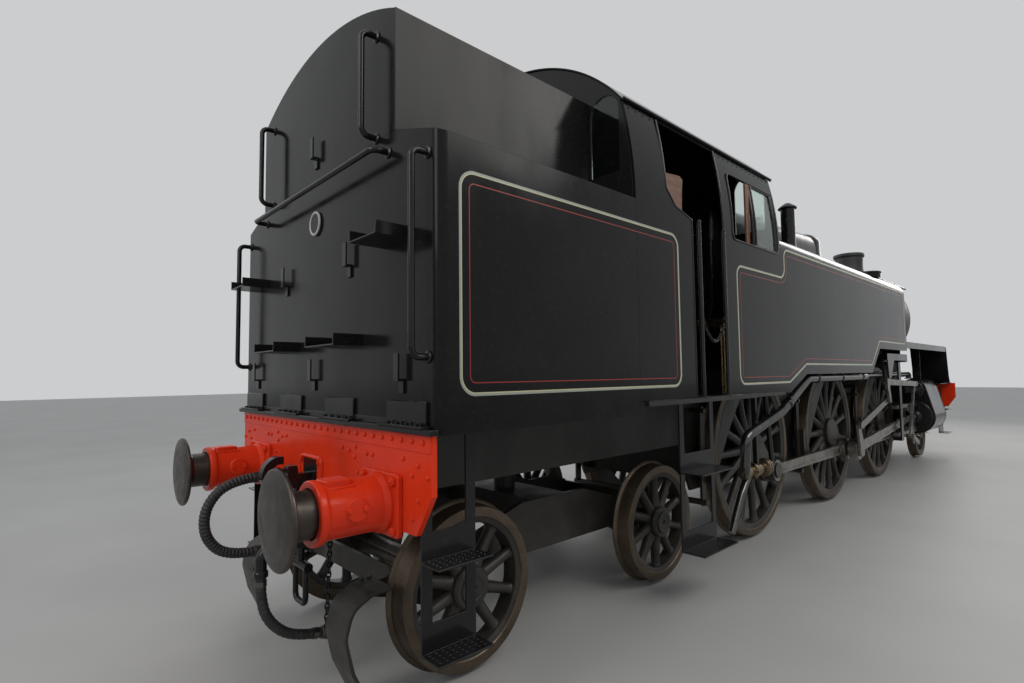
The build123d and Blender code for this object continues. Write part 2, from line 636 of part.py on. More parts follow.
def firebox_section(x, top, half, grow=0.0):
    """Draw the firebox's outline in Y and Z at one place along the engine."""
    points = (
        (-FIREBOX_FOOT_HALF - grow, FIREBOX_FOOT),
        (-FIREBOX_FOOT_HALF - grow, FIREBOX_FOOT + 260),
        (-half - grow, BOILER_Z - 330),
        (-half - grow, top + grow),
        (half + grow, top + grow),
        (half + grow, BOILER_Z - 330),
        (FIREBOX_FOOT_HALF + grow, FIREBOX_FOOT + 260),
        (FIREBOX_FOOT_HALF + grow, FIREBOX_FOOT),
    )
    with BuildSketch(Plane.YZ.offset(x)) as outline:
        with BuildLine():
            Polyline(*points, close=True)
        make_face()
        fillet(outline.vertices().group_by(Axis.Y)[-1], radius=250 + grow)
    return outline.sketch


FIREBOX_HALF_REAR = FIREBOX_HALF - 40
with BuildPart() as firebox:
    front = firebox_section(BARREL_REAR, FIREBOX_TOP, FIREBOX_HALF)
    middle = firebox_section(CAB_FRONT, FIREBOX_TOP_REAR, FIREBOX_HALF_REAR)
    loft((front, middle), ruled=True)
    extrude(middle, amount=FIREBOX_REAR - CAB_FRONT)
firebox.part.label = "firebox"
export_step(firebox.part, "parts/firebox.step")

FRONT_WALL = (CAB_FRONT - WALL, CAB_FRONT - SEAT)
with BuildPart() as cab_front_plate:
    bulkhead(FRONT_WALL)
    arched_windows(FRONT_WINDOW, FRONT_WALL)
    hole = firebox_section(FRONT_WALL[0], FIREBOX_TOP_REAR, FIREBOX_HALF_REAR, SEAT)
    extrude(hole, amount=WALL, mode=Mode.SUBTRACT)
    for side in SIDES:
        gap_y = mirrored_sorted(WHEEL_BOX[0] - SEAT, WHEEL_BOX[1] + SEAT, side)
        block(FRONT_WALL, gap_y, (FLOOR_TOP - 1, WHEEL_BOX_TOP + SEAT), mode=Mode.SUBTRACT)
cab_front_plate.part.label = "cab_front_plate"
export_step(cab_front_plate.part, "parts/cab_front_plate.step")

BARREL_PROFILE = (
    (0, BARREL_REAR),
    (BARREL_REAR_R, BARREL_REAR),
    (BARREL_FRONT_R + 14, BARREL_KNEE),
    (BARREL_FRONT_R, BARREL_FRONT),
    (0, BARREL_FRONT),
)
with BuildPart() as boiler_barrel:
    turned(BARREL_PROFILE, (0, 0, BOILER_Z), (1, 0, 0))
boiler_barrel.part.label = "boiler_barrel"
export_step(boiler_barrel.part, "parts/boiler_barrel.step")

TUBE_PLATE = 30.0
SMOKEBOX_INNER = SMOKEBOX_R - SMOKEBOX_WALL
SMOKEBOX_PROFILE = (
    (0, BARREL_FRONT),
    (SMOKEBOX_R, BARREL_FRONT),
    (SMOKEBOX_R, SMOKEBOX_FRONT - 24),
    (SMOKEBOX_R - 24, SMOKEBOX_FRONT),
    (DOOR_HOLE_R, SMOKEBOX_FRONT),
    (DOOR_HOLE_R, SMOKEBOX_FRONT - TUBE_PLATE),
    (SMOKEBOX_INNER, SMOKEBOX_FRONT - TUBE_PLATE),
    (SMOKEBOX_INNER, BARREL_FRONT + TUBE_PLATE),
    (0, BARREL_FRONT + TUBE_PLATE),
)
HINGE_X = SMOKEBOX_FRONT + 58.0
HINGE_Y = DOOR_R + 52.0
HINGE_PIN_R = 15.0
HINGE_HEIGHTS = (BOILER_Z - 230.0, BOILER_Z + 230.0)
LUG_GAP = 34.0           # half height of the strap eye between its lugs
with BuildPart() as smokebox:
    turned(SMOKEBOX_PROFILE, (0, 0, BOILER_Z), (1, 0, 0))
    for height in HINGE_HEIGHTS:
        for low in (height - LUG_GAP - 26, height + LUG_GAP + 6):
            lug_x = (SMOKEBOX_FRONT - 8, HINGE_X)
            block(lug_x, (HINGE_Y - 20, HINGE_Y + 20), (low, low + 20))
            post((HINGE_X, HINGE_Y), 24, (low, low + 20))
        post((HINGE_X, HINGE_Y), HINGE_PIN_R, (height - LUG_GAP - 30, height + LUG_GAP + 30))
smokebox.part.label = "smokebox"
export_step(smokebox.part, "parts/smokebox.step")

DOOR_PROFILE = (
    (0, SMOKEBOX_FRONT + SEAT),
    (DOOR_R, SMOKEBOX_FRONT + SEAT),
    (DOOR_R, SMOKEBOX_FRONT + 22),
    (DOOR_R - 90, SMOKEBOX_FRONT + 62),
    (DOOR_R - 330, SMOKEBOX_FRONT + 104),
    (0, SMOKEBOX_FRONT + 118),
)
with BuildPart() as smokebox_door:
    turned(DOOR_PROFILE, (0, 0, BOILER_Z), (1, 0, 0))
    for height in HINGE_HEIGHTS:
        strap_z = (height - 28, height + 28)
        strap_x = (SMOKEBOX_FRONT + 40, SMOKEBOX_FRONT + 116)
        block(strap_x, (-180, 420), strap_z)
        outer_x = (SMOKEBOX_FRONT + 16, SMOKEBOX_FRONT + 84)
        block(outer_x, (420, HINGE_Y), strap_z)
        post((HINGE_X, HINGE_Y), 27, strap_z)
        post((HINGE_X, HINGE_Y), HINGE_PIN_R + PIN_PLAY, strap_z, mode=Mode.SUBTRACT)
    barrel((0, BOILER_Z), 36, (SMOKEBOX_FRONT + 110, SMOKEBOX_FRONT + 170))
    block((SMOKEBOX_FRONT + 138, SMOKEBOX_FRONT + 158), (-16, 16), (BOILER_Z - 190, BOILER_Z))
    block((SMOKEBOX_FRONT + 116, SMOKEBOX_FRONT + 134), (-190, 0), (BOILER_Z - 16, BOILER_Z + 16))
smokebox_door.part.label = "smokebox_door"
export_step(smokebox_door.part, "parts/smokebox_door.step")

SADDLE_HALF = 600.0
with BuildPart() as smokebox_saddle:
    block((CYL_REAR + 60, CYL_FRONT - 40), (-SADDLE_HALF - 50, SADDLE_HALF + 50),
          (BEAM_TOP, BOILER_Z - 420))
    reach = (CYL_REAR, CYL_FRONT)
    barrel((0, BOILER_Z), SMOKEBOX_R + SEAT, reach, mode=Mode.SUBTRACT)
smokebox_saddle.part.label = "smokebox_saddle"
export_step(smokebox_saddle.part, "parts/smokebox_saddle.step")

SMOKEBOX_TOP = BOILER_Z + SMOKEBOX_R
CHIMNEY_PROFILE = (
    (185, SMOKEBOX_TOP - 140),
    (345, SMOKEBOX_TOP - 140),
    (345, SMOKEBOX_TOP - 20),
    (262, SMOKEBOX_TOP + 60),
    (232, SMOKEBOX_TOP + 130),
    (240, CHIMNEY_TOP - 70),
    (268, CHIMNEY_TOP - 55),
    (268, CHIMNEY_TOP - 10),
    (250, CHIMNEY_TOP),
    (200, CHIMNEY_TOP),
)
with BuildPart() as chimney:
    turned(CHIMNEY_PROFILE, (CHIMNEY_X, 0, 0), (0, 0, 1))
    chimney_reach = (CHIMNEY_X - 500, CHIMNEY_X + 500)
    barrel((0, BOILER_Z), SMOKEBOX_R + SEAT, chimney_reach, mode=Mode.SUBTRACT)
chimney.part.label = "chimney"
export_step(chimney.part, "parts/chimney.step")

DOME_R = 315.0
DOME_SKIRT_R = DOME_R + 90.0
DOME_RISE = 180.0
DOME_CAP_R = (DOME_R**2 + DOME_RISE**2) / (2 * DOME_RISE)
DOME_SEAT = BOILER_Z + BARREL_FRONT_R
DOME_PLANE = Plane(origin=(DOME_X, 0, 0), x_dir=(1, 0, 0), z_dir=(0, -1, 0))
BARREL_SLOPE = (BARREL_REAR_R - BARREL_FRONT_R - 14) / (BARREL_KNEE - BARREL_REAR)


def barrel_radius(x):
    """Give the outside radius of the barrel behind its knee."""
    return BARREL_REAR_R - BARREL_SLOPE * (x - BARREL_REAR)


with BuildPart() as dome:
    with BuildSketch(DOME_PLANE) as half:
        with BuildLine():
            Polyline((0, DOME_TOP), (0, DOME_SEAT - 150), (DOME_SKIRT_R, DOME_SEAT - 150),
                     (DOME_SKIRT_R, DOME_SEAT - 60), (DOME_R, DOME_SEAT + 40), (DOME_R, DOME_TOP - DOME_RISE))
            RadiusArc((DOME_R, DOME_TOP - DOME_RISE), (0, DOME_TOP), -DOME_CAP_R)
        make_face()
    revolve(half.sketch, axis=Axis((DOME_X, 0, 0), (0, 0, 1)))
    seat_x = (DOME_X - 550, DOME_X + 550)
    seat_r = tuple(barrel_radius(x) + SEAT for x in seat_x)
    under = ((0, seat_x[0]), (seat_r[0], seat_x[0]), (seat_r[1], seat_x[1]), (0, seat_x[1]))
    turned(under, (0, 0, BOILER_Z), (1, 0, 0), mode=Mode.SUBTRACT)
dome.part.label = "dome"
export_step(dome.part, "parts/dome.step")

VALVE_PROFILE = ((0, 0), (95, 0), (95, 24), (58, 40), (58, 190), (72, 200), (72, 226), (0, 226))
WHISTLE_PROFILE = ((0, 0), (40, 0), (40, 20), (20, 30), (20, 120), (46, 130), (46, 240), (0, 250))
SAFETY_X = BARREL_REAR - 420.0
with BuildPart() as boiler_fittings:
    slope = (FIREBOX_TOP - FIREBOX_TOP_REAR) / (BARREL_REAR - CAB_FRONT)
    for side in SIDES:
        seat = FIREBOX_TOP - slope * (BARREL_REAR - SAFETY_X - 95) + SEAT
        turned(VALVE_PROFILE, (SAFETY_X, side * 260.0, seat), (0, 0, 1))
    whistle_x = CAB_FRONT + 420.0
    whistle_seat = FIREBOX_TOP - slope * (BARREL_REAR - whistle_x - 40) + SEAT
    turned(WHISTLE_PROFILE, (whistle_x, -330.0, whistle_seat), (0, 0, 1))
boiler_fittings.part.label = "boiler_fittings"
export_step(boiler_fittings.part, "parts/boiler_fittings.step")

# Side tanks with the skirt over the wheels, and their filler lids
SKIRT_REAR_Z = FLANGE + 1477.0
SKIRT_Z = FLANGE + 1648.0
SKIRT_FRONT_Z = FLANGE + 1965.0
# Columns: X, Z of the skirt's lower edge
SKIRT_EDGE = (
    (CAB_FRONT, SKIRT_REAR_Z),
    (BUNKER_X + 4020.0, SKIRT_REAR_Z),
    (BUNKER_X + 4460.0, SKIRT_Z),
    (BUNKER_X + 6730.0, SKIRT_Z),
    (BUNKER_X + 7120.0, SKIRT_FRONT_Z),
    (TANK_FRONT, SKIRT_FRONT_Z),
)
FILLER_X = 1350.0
FILLER_Y = 1112.0
FILLER_R = 165.0
FILLER_HINGE_Y = FILLER_Y - FILLER_R - 38.0
FILLER_TALL = 70.0
TANK_CROWN = WAIST + TANK_CORNER_R
for side, name in ((1, "side_tank_left"), (-1, "side_tank_right")):
    with BuildPart() as side_tank:
        with BuildSketch(Plane.YZ.offset(CAB_FRONT)) as section:
            with BuildLine():
                Line((TANK_INNER, TANK_FLOOR), (BODY_HALF, TANK_FLOOR))
                Line((BODY_HALF, TANK_FLOOR), (BODY_HALF, WAIST))
                RadiusArc((BODY_HALF, WAIST), (BODY_HALF - TANK_CORNER_R, TANK_CROWN), -TANK_CORNER_R)
                Line((BODY_HALF - TANK_CORNER_R, TANK_CROWN), (TANK_INNER, TANK_CROWN))
                Line((TANK_INNER, TANK_CROWN), (TANK_INNER, TANK_FLOOR))
            make_face()
        extrude(amount=TANK_FRONT - CAB_FRONT)
        skirt = SKIRT_EDGE + ((TANK_FRONT, TANK_FLOOR + 200), (CAB_FRONT, TANK_FLOOR + 200))
        side_plate(skirt, (BODY_HALF - SHEET, BODY_HALF))
        lifted = SKIRT_EDGE[3:5] + ((TANK_FRONT + 1, SKIRT_FRONT_Z), (TANK_FRONT + 1, SKIRT_Z))
        side_plate(lifted, (TANK_INNER - 1, BODY_HALF + 1), mode=Mode.SUBTRACT)
        post((FILLER_X, FILLER_Y), FILLER_R - 12, (TANK_CROWN - 1, TANK_CROWN + FILLER_TALL))
        for lug in (-50, 32):
            block((FILLER_X + lug, FILLER_X + lug + 18),
                  (FILLER_HINGE_Y - 16, FILLER_HINGE_Y + 16),
                  (TANK_CROWN - 1, TANK_CROWN + FILLER_TALL + 26))
        with BuildSketch(Plane.YZ.offset(FILLER_X - 54)) as filler_pin:
            with Locations((FILLER_HINGE_Y, TANK_CROWN + FILLER_TALL + 10)):
                Circle(8)
        extrude(filler_pin.sketch, amount=108)
        if side < 0:
            mirror(about=Plane.XZ, mode=Mode.REPLACE)
    side_tank.part.label = name
    export_step(side_tank.part, f"parts/{name}.step")

for side, name in ((1, "tank_lid_left"), (-1, "tank_lid_right")):
    with BuildPart() as tank_lid:
        lid_z = (TANK_CROWN + FILLER_TALL + SEAT, TANK_CROWN + FILLER_TALL + 20)
        post((FILLER_X, FILLER_Y), FILLER_R, lid_z)
        fillet(tank_lid.edges().group_by(Axis.Z)[-1], radius=8)
        block((FILLER_X - 26, FILLER_X + 26), (FILLER_HINGE_Y, FILLER_Y), lid_z)
        eye = (FILLER_HINGE_Y, TANK_CROWN + FILLER_TALL + 10)
        barrel(eye, 9.7, (FILLER_X - 26, FILLER_X + 26))
        barrel(eye, 8 + PIN_PLAY, (FILLER_X - 27, FILLER_X + 27), mode=Mode.SUBTRACT)
        if side < 0:
            mirror(about=Plane.XZ, mode=Mode.REPLACE)
    tank_lid.part.label = name
    export_step(tank_lid.part, f"parts/{name}.step")

# Running plates beside the boiler, their drop to the platform, and the platform itself
DROP_FRONT = PLATE_FRONT + 250.0
GIRDER_X = (2740.0, 2860.0)
GIRDER_Z = (1830.0, 1950.0)
VALVE_TOP = VALVE_Z + VALVE_R
SUPPORT_X = 4400.0
with BuildPart() as running_plates:
    for side in SIDES:
        plate_y = mirrored_sorted(PLATE_INNER, PLATE_OUTER, side)
        plate_x = (TANK_FRONT + SEAT, PLATE_FRONT)
        block(plate_x, plate_y, (PLATE_TOP - PLATE_THICK, PLATE_TOP))
        edge_y = mirrored_sorted(PLATE_OUTER - SHEET, PLATE_OUTER, side)
        block(plate_x, edge_y, (PLATE_TOP - VALANCE, PLATE_TOP))
        drop = (
            (PLATE_FRONT - 1, PLATE_TOP - PLATE_THICK),
            (PLATE_FRONT - 1, PLATE_TOP),
            (PLATE_FRONT + 60, PLATE_TOP - 25),
            (PLATE_FRONT + 190, PLATFORM_TOP + 120),
            (DROP_FRONT + 10, PLATFORM_TOP + 30),
            (DROP_FRONT + 40, PLATFORM_TOP + SEAT),
            (DROP_FRONT, PLATFORM_TOP + SEAT),
            (PLATE_FRONT + 175, PLATFORM_TOP + 120),
            (PLATE_FRONT + 48, PLATE_TOP - 36),
        )
        side_plate(drop, plate_y)
        foot_y = mirrored_sorted(PLATE_INNER + 140, PLATE_OUTER - 180, side)
        foot_z = (GIRDER_Z[1], PLATE_TOP - PLATE_THICK)
        block((GIRDER_X[0] + 40, GIRDER_X[0] + 60), foot_y, foot_z)
        post_y = mirrored_sorted(CONN_Y - 60, CONN_Y + 60, side)
        block((SUPPORT_X, SUPPORT_X + 20), post_y, (VALVE_TOP - 30, PLATE_TOP - PLATE_THICK))
        barrel((side * CONN_Y, VALVE_Z), VALVE_R + SEAT, (SUPPORT_X - 1, SUPPORT_X + 21),
               mode=Mode.SUBTRACT)
running_plates.part.label = "running_plates"
export_step(running_plates.part, "parts/running_plates.step")

with BuildPart() as front_platform:
    block((CYL_FRONT + 160, BEAM_X), (-1240, 1240), (BEAM_TOP, PLATFORM_TOP))
front_platform.part.label = "front_platform"
export_step(front_platform.part, "parts/front_platform.step")

# Cylinders with valve chests in one casing, bored for the piston rods
COVER = 30.0
GLAND = 40.0             # reach of the piston rod's gland behind the rear cover
with BuildPart() as cylinders:
    for side in SIDES:
        with BuildSketch(Plane.YZ.offset(CYL_REAR)) as casing:
            with Locations((side * CONN_Y, DRIVER_Z)):
                Circle(CYL_R)
            with Locations((side * CONN_Y, VALVE_Z)):
                Circle(VALVE_R)
            make_hull()
        extrude(casing.sketch, amount=CYL_FRONT - CYL_REAR)
        flange_y = mirrored_sorted(FRAME_OUT, CONN_Y, side)
        block((CYL_REAR + 30, CYL_FRONT - 30), flange_y, (FRAME_LOW + 40, VALVE_Z + 60))
        line = (side * CONN_Y, DRIVER_Z)
        barrel(line, CYL_R - 26, (CYL_REAR - COVER, CYL_FRONT + COVER))
        barrel(line, 110, (CYL_REAR - COVER, CYL_FRONT + COVER + 22))
        barrel(line, PISTON_ROD_R + 26, (CYL_REAR - COVER - GLAND, CYL_REAR))
        chest = (side * CONN_Y, VALVE_Z)
        barrel(chest, VALVE_R - 28, (CYL_REAR - COVER, CYL_FRONT + COVER))
        barrel(chest, 58, (CYL_REAR - 90, CYL_FRONT + 110))
        rod_bore = (CYL_REAR - COVER - GLAND - 1, STROKE_FRONT + PISTON_ROD_REACH + 30)
        barrel(line, PISTON_ROD_R + PIN_PLAY, rod_bore, mode=Mode.SUBTRACT)
cylinders.part.label = "cylinders"
export_step(cylinders.part, "parts/cylinders.step")

# Slide bars above and below the crosshead, and the brackets that carry them
SLIPPER_HALF = 215.0
BAR_NEAR = 188.0         # cylinder line to a bar's sliding face
BAR_DEEP = 60.0
BAR_Y = (987.0, 1065.0)
BAR_REAR = STROKE_REAR - SLIPPER_HALF - 45.0
with BuildPart() as slidebars:
    for side in SIDES:
        for level in (1, -1):
            bar_z = sorted((DRIVER_Z + level * BAR_NEAR, DRIVER_Z + level * (BAR_NEAR + BAR_DEEP)))
            bar_y = mirrored_sorted(BAR_Y[0], BAR_Y[1], side)
            block((BAR_REAR, CYL_REAR - COVER), bar_y, bar_z)
slidebars.part.label = "slidebars"
export_step(slidebars.part, "parts/slidebars.step")

LINK_PIVOT = (1800.0, 1640.0)
BRACKET_X = (BAR_REAR - 10.0, BAR_REAR + 120.0)
BRACKET_Y = (1087.0, 1111.0)
BRACKET_OUT = 1217.0
with BuildPart() as motion_brackets:
    for side in SIDES:
        block(GIRDER_X, mirrored_sorted(FRAME_IN, FRAME_OUT + 22, side), (BEAM_TOP, GIRDER_Z[1]))
        block(GIRDER_X, mirrored_sorted(FRAME_IN, BRACKET_OUT, side), GIRDER_Z)
        plate_z = (DRIVER_Z - BAR_NEAR - BAR_DEEP - 60, GIRDER_Z[1])
        block(BRACKET_X, mirrored_sorted(*BRACKET_Y, side), plate_z)
        for level in (1, -1):
            near = DRIVER_Z + level * (BAR_NEAR + BAR_DEEP)
            clamp_z = sorted((near, near + level * 60))
            block(BRACKET_X, mirrored_sorted(BAR_Y[0], BRACKET_Y[0] + 1, side), clamp_z)
        rail_y = mirrored_sorted(ECC_Y, BRACKET_OUT, side)
        block((LINK_PIVOT[0] - 110, GIRDER_X[0] + 1), rail_y, (GIRDER_Z[0] + 20, GIRDER_Z[1]))
        cheek = ((LINK_PIVOT[0] - 100, GIRDER_Z[0] + 21), (LINK_PIVOT[0] + 260, GIRDER_Z[0] + 21),
                 (LINK_PIVOT[0] + 50, LINK_PIVOT[1] - 55), (LINK_PIVOT[0] - 50, LINK_PIVOT[1] - 55))
        side_plate(cheek, mirrored_sorted(ECC_Y, LINK_Y - 6, side))
        side_plate(cheek, mirrored_sorted(LINK_Y + LINK_THICK + 6, BRACKET_OUT, side))
        hole_y = mirrored_sorted(ECC_Y - 1, BRACKET_OUT + 1, side)
        shaft(LINK_PIVOT, 26 + PIN_PLAY, hole_y, mode=Mode.SUBTRACT)
motion_brackets.part.label = "motion_brackets"
export_step(motion_brackets.part, "parts/motion_brackets.step")

# Crossheads with their piston rods
CHEEK_GAP = CONN_THICK / 2 + 6.0
CHEEK_HALF = 46.0
ARM_Y = (1068.0, 1086.0)
ARM_DROP = 405.0
CROSS_PIN_R = 46.0
RUN_CLEAR = 10.0         # crosshead boss to gland at the front end of the stroke
ROD_BOSS_R = RETURN_Y - CONN_Y - 6.0
ROD_BOSS_END = CYL_REAR - COVER - GLAND - RUN_CLEAR - STROKE_FRONT
for side, name in ((1, "crosshead_left"), (-1, "crosshead_right")):
    x = CROSSHEAD_X[side]
    with BuildPart() as crosshead:
        for low, high in ((CONN_Y - CHEEK_HALF, CONN_Y - CHEEK_GAP),
                          (CONN_Y + CHEEK_GAP, CONN_Y + CHEEK_HALF)):
            cheek = ((x - 215, DRIVER_Z + 130), (x - 215, DRIVER_Z + 160), (x + 215, DRIVER_Z + 160),
                     (x + 215, DRIVER_Z - 160), (x - 215, DRIVER_Z - 160), (x - 215, DRIVER_Z - 130),
                     (x - 70, DRIVER_Z - 70), (x - 70, DRIVER_Z + 70))
            side_plate(cheek, (low, high))
        slipper_y = (BAR_Y[0], CONN_Y + CHEEK_HALF)
        for level in (1, -1):
            slipper_z = sorted((DRIVER_Z + level * 135, DRIVER_Z + level * (BAR_NEAR - 0.5)))
            block((x - SLIPPER_HALF, x + SLIPPER_HALF), slipper_y, slipper_z)
        block((x + 105, x + 215), (CONN_Y - CHEEK_HALF, CONN_Y + CHEEK_HALF),
              (DRIVER_Z - 140, DRIVER_Z + 140))
        shaft((x, DRIVER_Z), CROSS_PIN_R, (CONN_Y - CHEEK_HALF - 10, CONN_Y + CHEEK_HALF + 10))
        barrel((CONN_Y, DRIVER_Z), ROD_BOSS_R, (x + 200, x + ROD_BOSS_END))
        barrel((CONN_Y, DRIVER_Z), PISTON_ROD_R, (x + 200, x + PISTON_ROD_REACH))
        arm = ((x - 45, DRIVER_Z - 120), (x + 45, DRIVER_Z - 120),
               (x + 30, DRIVER_Z - ARM_DROP - 30), (x - 30, DRIVER_Z - ARM_DROP - 30))
        side_plate(arm, ARM_Y)
        if side < 0:
            mirror(about=Plane.XZ, mode=Mode.REPLACE)
    crosshead.part.label = name
    export_step(crosshead.part, f"parts/{name}.step")

# Connecting rods, each with the outer crankpin and return crank that its big end holds
BIG_BOSS = 135.0
SMALL_BOSS = 78.0
RETURN_PIN = {-1: (572.0, 987.0)}
right_arm = (RETURN_PIN[-1][0] - MAIN_X, RETURN_PIN[-1][1] - DRIVER_Z)
RETURN_PIN[1] = (MAIN_X - right_arm[1], DRIVER_Z + right_arm[0])
for side, name in ((1, "connecting_rod_left"), (-1, "connecting_rod_right")):
    small = (CROSSHEAD_X[side], DRIVER_Z)
    big = crank_point((MAIN_X, DRIVER_Z), CRANK_ANGLE[side], CRANK)
    with BuildPart() as connecting_rod:
        web_y = (CONN_Y - CONN_THICK / 2, CONN_Y + CONN_THICK / 2)
        boss_y = (CONN_Y - BOSS_THICK / 2, CONN_Y + BOSS_THICK / 2)
        link((small, big), (52, 70), web_y)
        shaft(small, SMALL_BOSS, web_y)
        shaft(big, BIG_BOSS, boss_y)
        lean = degrees(atan2(big[1] - small[1], big[0] - small[0]))
        for face in (web_y[0], web_y[1] - 12):
            middle = ((small[0] + big[0]) / 2, (small[1] + big[1]) / 2)
            flute_plane = Plane(origin=(middle[0], face, middle[1]), x_dir=(
                cos(radians(lean)), 0, sin(radians(lean))), z_dir=(0, -1, 0))
            with BuildSketch(flute_plane) as flute:
                SlotCenterToCenter(CONN_LENGTH - 560, 56)
            extrude(flute.sketch, amount=-12, mode=Mode.SUBTRACT)
        shaft(small, CROSS_PIN_R + PIN_PLAY, web_y, mode=Mode.SUBTRACT)
        shaft(big, BIG_PIN_R + PIN_PLAY, boss_y, mode=Mode.SUBTRACT)
        shaft(big, BIG_PIN_R, (boss_y[0], RETURN_Y + 2))
        link((big, RETURN_PIN[side]), (92, 46), (RETURN_Y, RETURN_Y + RETURN_THICK))
        if side < 0:
            mirror(about=Plane.XZ, mode=Mode.REPLACE)
    connecting_rod.part.label = name
    export_step(connecting_rod.part, f"parts/{name}.step")

# Valve gear, fixed with the engine: combination lever, union link, radius rod,
# expansion link, eccentric rod and valve spindle crosshead
SPINDLE_X = 3800.0
LEVER_Y = (RETURN_Y, RETURN_Y + RETURN_THICK)
RADIUS_Y = (ECC_Y, ECC_Y + ECC_THICK)
GEAR_PIN_R = 24.0
RADIUS_PIN = (SPINDLE_X - 30.0, VALVE_Z + 105.0)
ECC_FOOT_RIGHT = (1871.0, 1263.0)
ECC_LENGTH = hypot(ECC_FOOT_RIGHT[0] - RETURN_PIN[-1][0], ECC_FOOT_RIGHT[1] - RETURN_PIN[-1][1])
LINK_FOOT_REACH = hypot(ECC_FOOT_RIGHT[0] - LINK_PIVOT[0], ECC_FOOT_RIGHT[1] - LINK_PIVOT[1])
ECC_FOOT = {
    -1: ECC_FOOT_RIGHT,
    1: meet(RETURN_PIN[1], ECC_LENGTH, LINK_PIVOT, LINK_FOOT_REACH, -1),
}
for side, name in ((1, "valve_gear_left"), (-1, "valve_gear_right")):
    spindle = (SPINDLE_X, VALVE_Z)
    arm_pin = (CROSSHEAD_X[side], DRIVER_Z - ARM_DROP)
    lever_foot = meet(spindle, 885.0, arm_pin, 360.0, -1)
    foot = ECC_FOOT[side]
    with BuildPart() as valve_gear:
        link((RADIUS_PIN, lever_foot), (44, 38), LEVER_Y)
        shaft(RADIUS_PIN, GEAR_PIN_R, (LEVER_Y[0], RADIUS_Y[1] + 8))
        shaft(spindle, GEAR_PIN_R, (CONN_Y + 46 + SEAT, LEVER_Y[1] + 6))
        link((arm_pin, lever_foot), (38, 38), RADIUS_Y)
        shaft(lever_foot, GEAR_PIN_R + PIN_PLAY, RADIUS_Y, mode=Mode.SUBTRACT)
        shaft(lever_foot, GEAR_PIN_R, (LEVER_Y[0], RADIUS_Y[1] + 8))
        block((SPINDLE_X - 60, SPINDLE_X + 60), (CONN_Y - 45, CONN_Y + 46), (VALVE_Z - 45, VALVE_Z + 45))
        barrel((CONN_Y, VALVE_Z), 26, (SPINDLE_X + 50, CYL_REAR - 90))
        link((RADIUS_PIN, (LINK_PIVOT[0], LINK_PIVOT[1] - 105)), (40, 44), RADIUS_Y)
        link(((LINK_PIVOT[0], LINK_PIVOT[1] + 130), (LINK_PIVOT[0], LINK_PIVOT[1] - 190)), (62, 62),
             (LINK_Y, LINK_Y + LINK_THICK))
        link(((LINK_PIVOT[0], LINK_PIVOT[1] - 190), foot), (50, 40), (LINK_Y, LINK_Y + LINK_THICK))
        shaft(LINK_PIVOT, 26, (ECC_Y, BRACKET_OUT))
        shaft((LINK_PIVOT[0], LINK_PIVOT[1] - 105), 30, (RADIUS_Y[0], LINK_Y + 2))
        link((RETURN_PIN[side], foot), (48, 40), RADIUS_Y)
        shaft(foot, GEAR_PIN_R, (RADIUS_Y[0] - 8, LINK_Y + 2))
        if side < 0:
            mirror(about=Plane.XZ, mode=Mode.REPLACE)
    valve_gear.part.label = name
    export_step(valve_gear.part, f"parts/{name}.step")


def spoked_wheel(axle_x, axle_z, side, wheel, crank_angle=None):
    """Add one spoked wheel: tyre with flange, rim, spokes and hub, and the crank of a driver."""
    back, face = WHEEL_BACK, WHEEL_FACE
    bore = wheel.tread - wheel.rim_depth
    profile = (
        (bore, back + 14), (bore, face - 14), (wheel.tread - 70, face - 14), (wheel.tread - 70, face),
        (wheel.tread, face), (wheel.tread + 2, back + 34), (wheel.tread + FLANGE, back + 20),
        (wheel.tread + FLANGE, back + 8), (wheel.tread - 70, back),
    )
    turned(tuple((r, side * y) for r, y in profile), (axle_x, 0, axle_z), (0, 1, 0))
    shaft((axle_x, axle_z), wheel.hub, mirrored_sorted(HUB_BACK, HUB_FACE - 14, side))
    shaft((axle_x, axle_z), wheel.journal + 8, mirrored_sorted(HUB_BACK, HUB_FACE, side))
    middle = (back + face) / 2
    spoke = (
        (wheel.hub - 20, -wheel.spoke_root / 2), (bore + 10, -wheel.spoke_tip / 2),
        (bore + 10, wheel.spoke_tip / 2), (wheel.hub - 20, wheel.spoke_root / 2),
    )
    plane = Plane(origin=(axle_x, side * middle, axle_z), x_dir=(1, 0, 0), z_dir=(0, -1, 0))
    with BuildSketch(plane) as spokes:
        with PolarLocations(0, wheel.spokes, start_angle=180 / wheel.spokes):
            Polygon(*spoke, align=None)
    extrude(spokes.sketch, amount=34, both=True, taper=14)
    if crank_angle is None:
        return
    throw = (CRANK * cos(radians(crank_angle)), CRANK * sin(radians(crank_angle)))
    plane = Plane(origin=(axle_x, side * middle, axle_z), x_dir=(1, 0, 0), z_dir=(0, -1, 0))
    with BuildSketch(plane) as web:
        Circle(wheel.hub)
        with Locations(throw):
            Circle(128)
        make_hull()
    extrude(web.sketch, amount=-side * (HUB_FACE - middle))
    with BuildSketch(plane) as weight:
        Circle(bore + 6)
        offset_by = bore * 1.53
        with Locations((-offset_by * cos(radians(crank_angle)), -offset_by * sin(radians(crank_angle)))):
            Rectangle(2 * bore, 4 * bore, rotation=crank_angle, mode=Mode.INTERSECT)
    extrude(weight.sketch, amount=46, both=True)


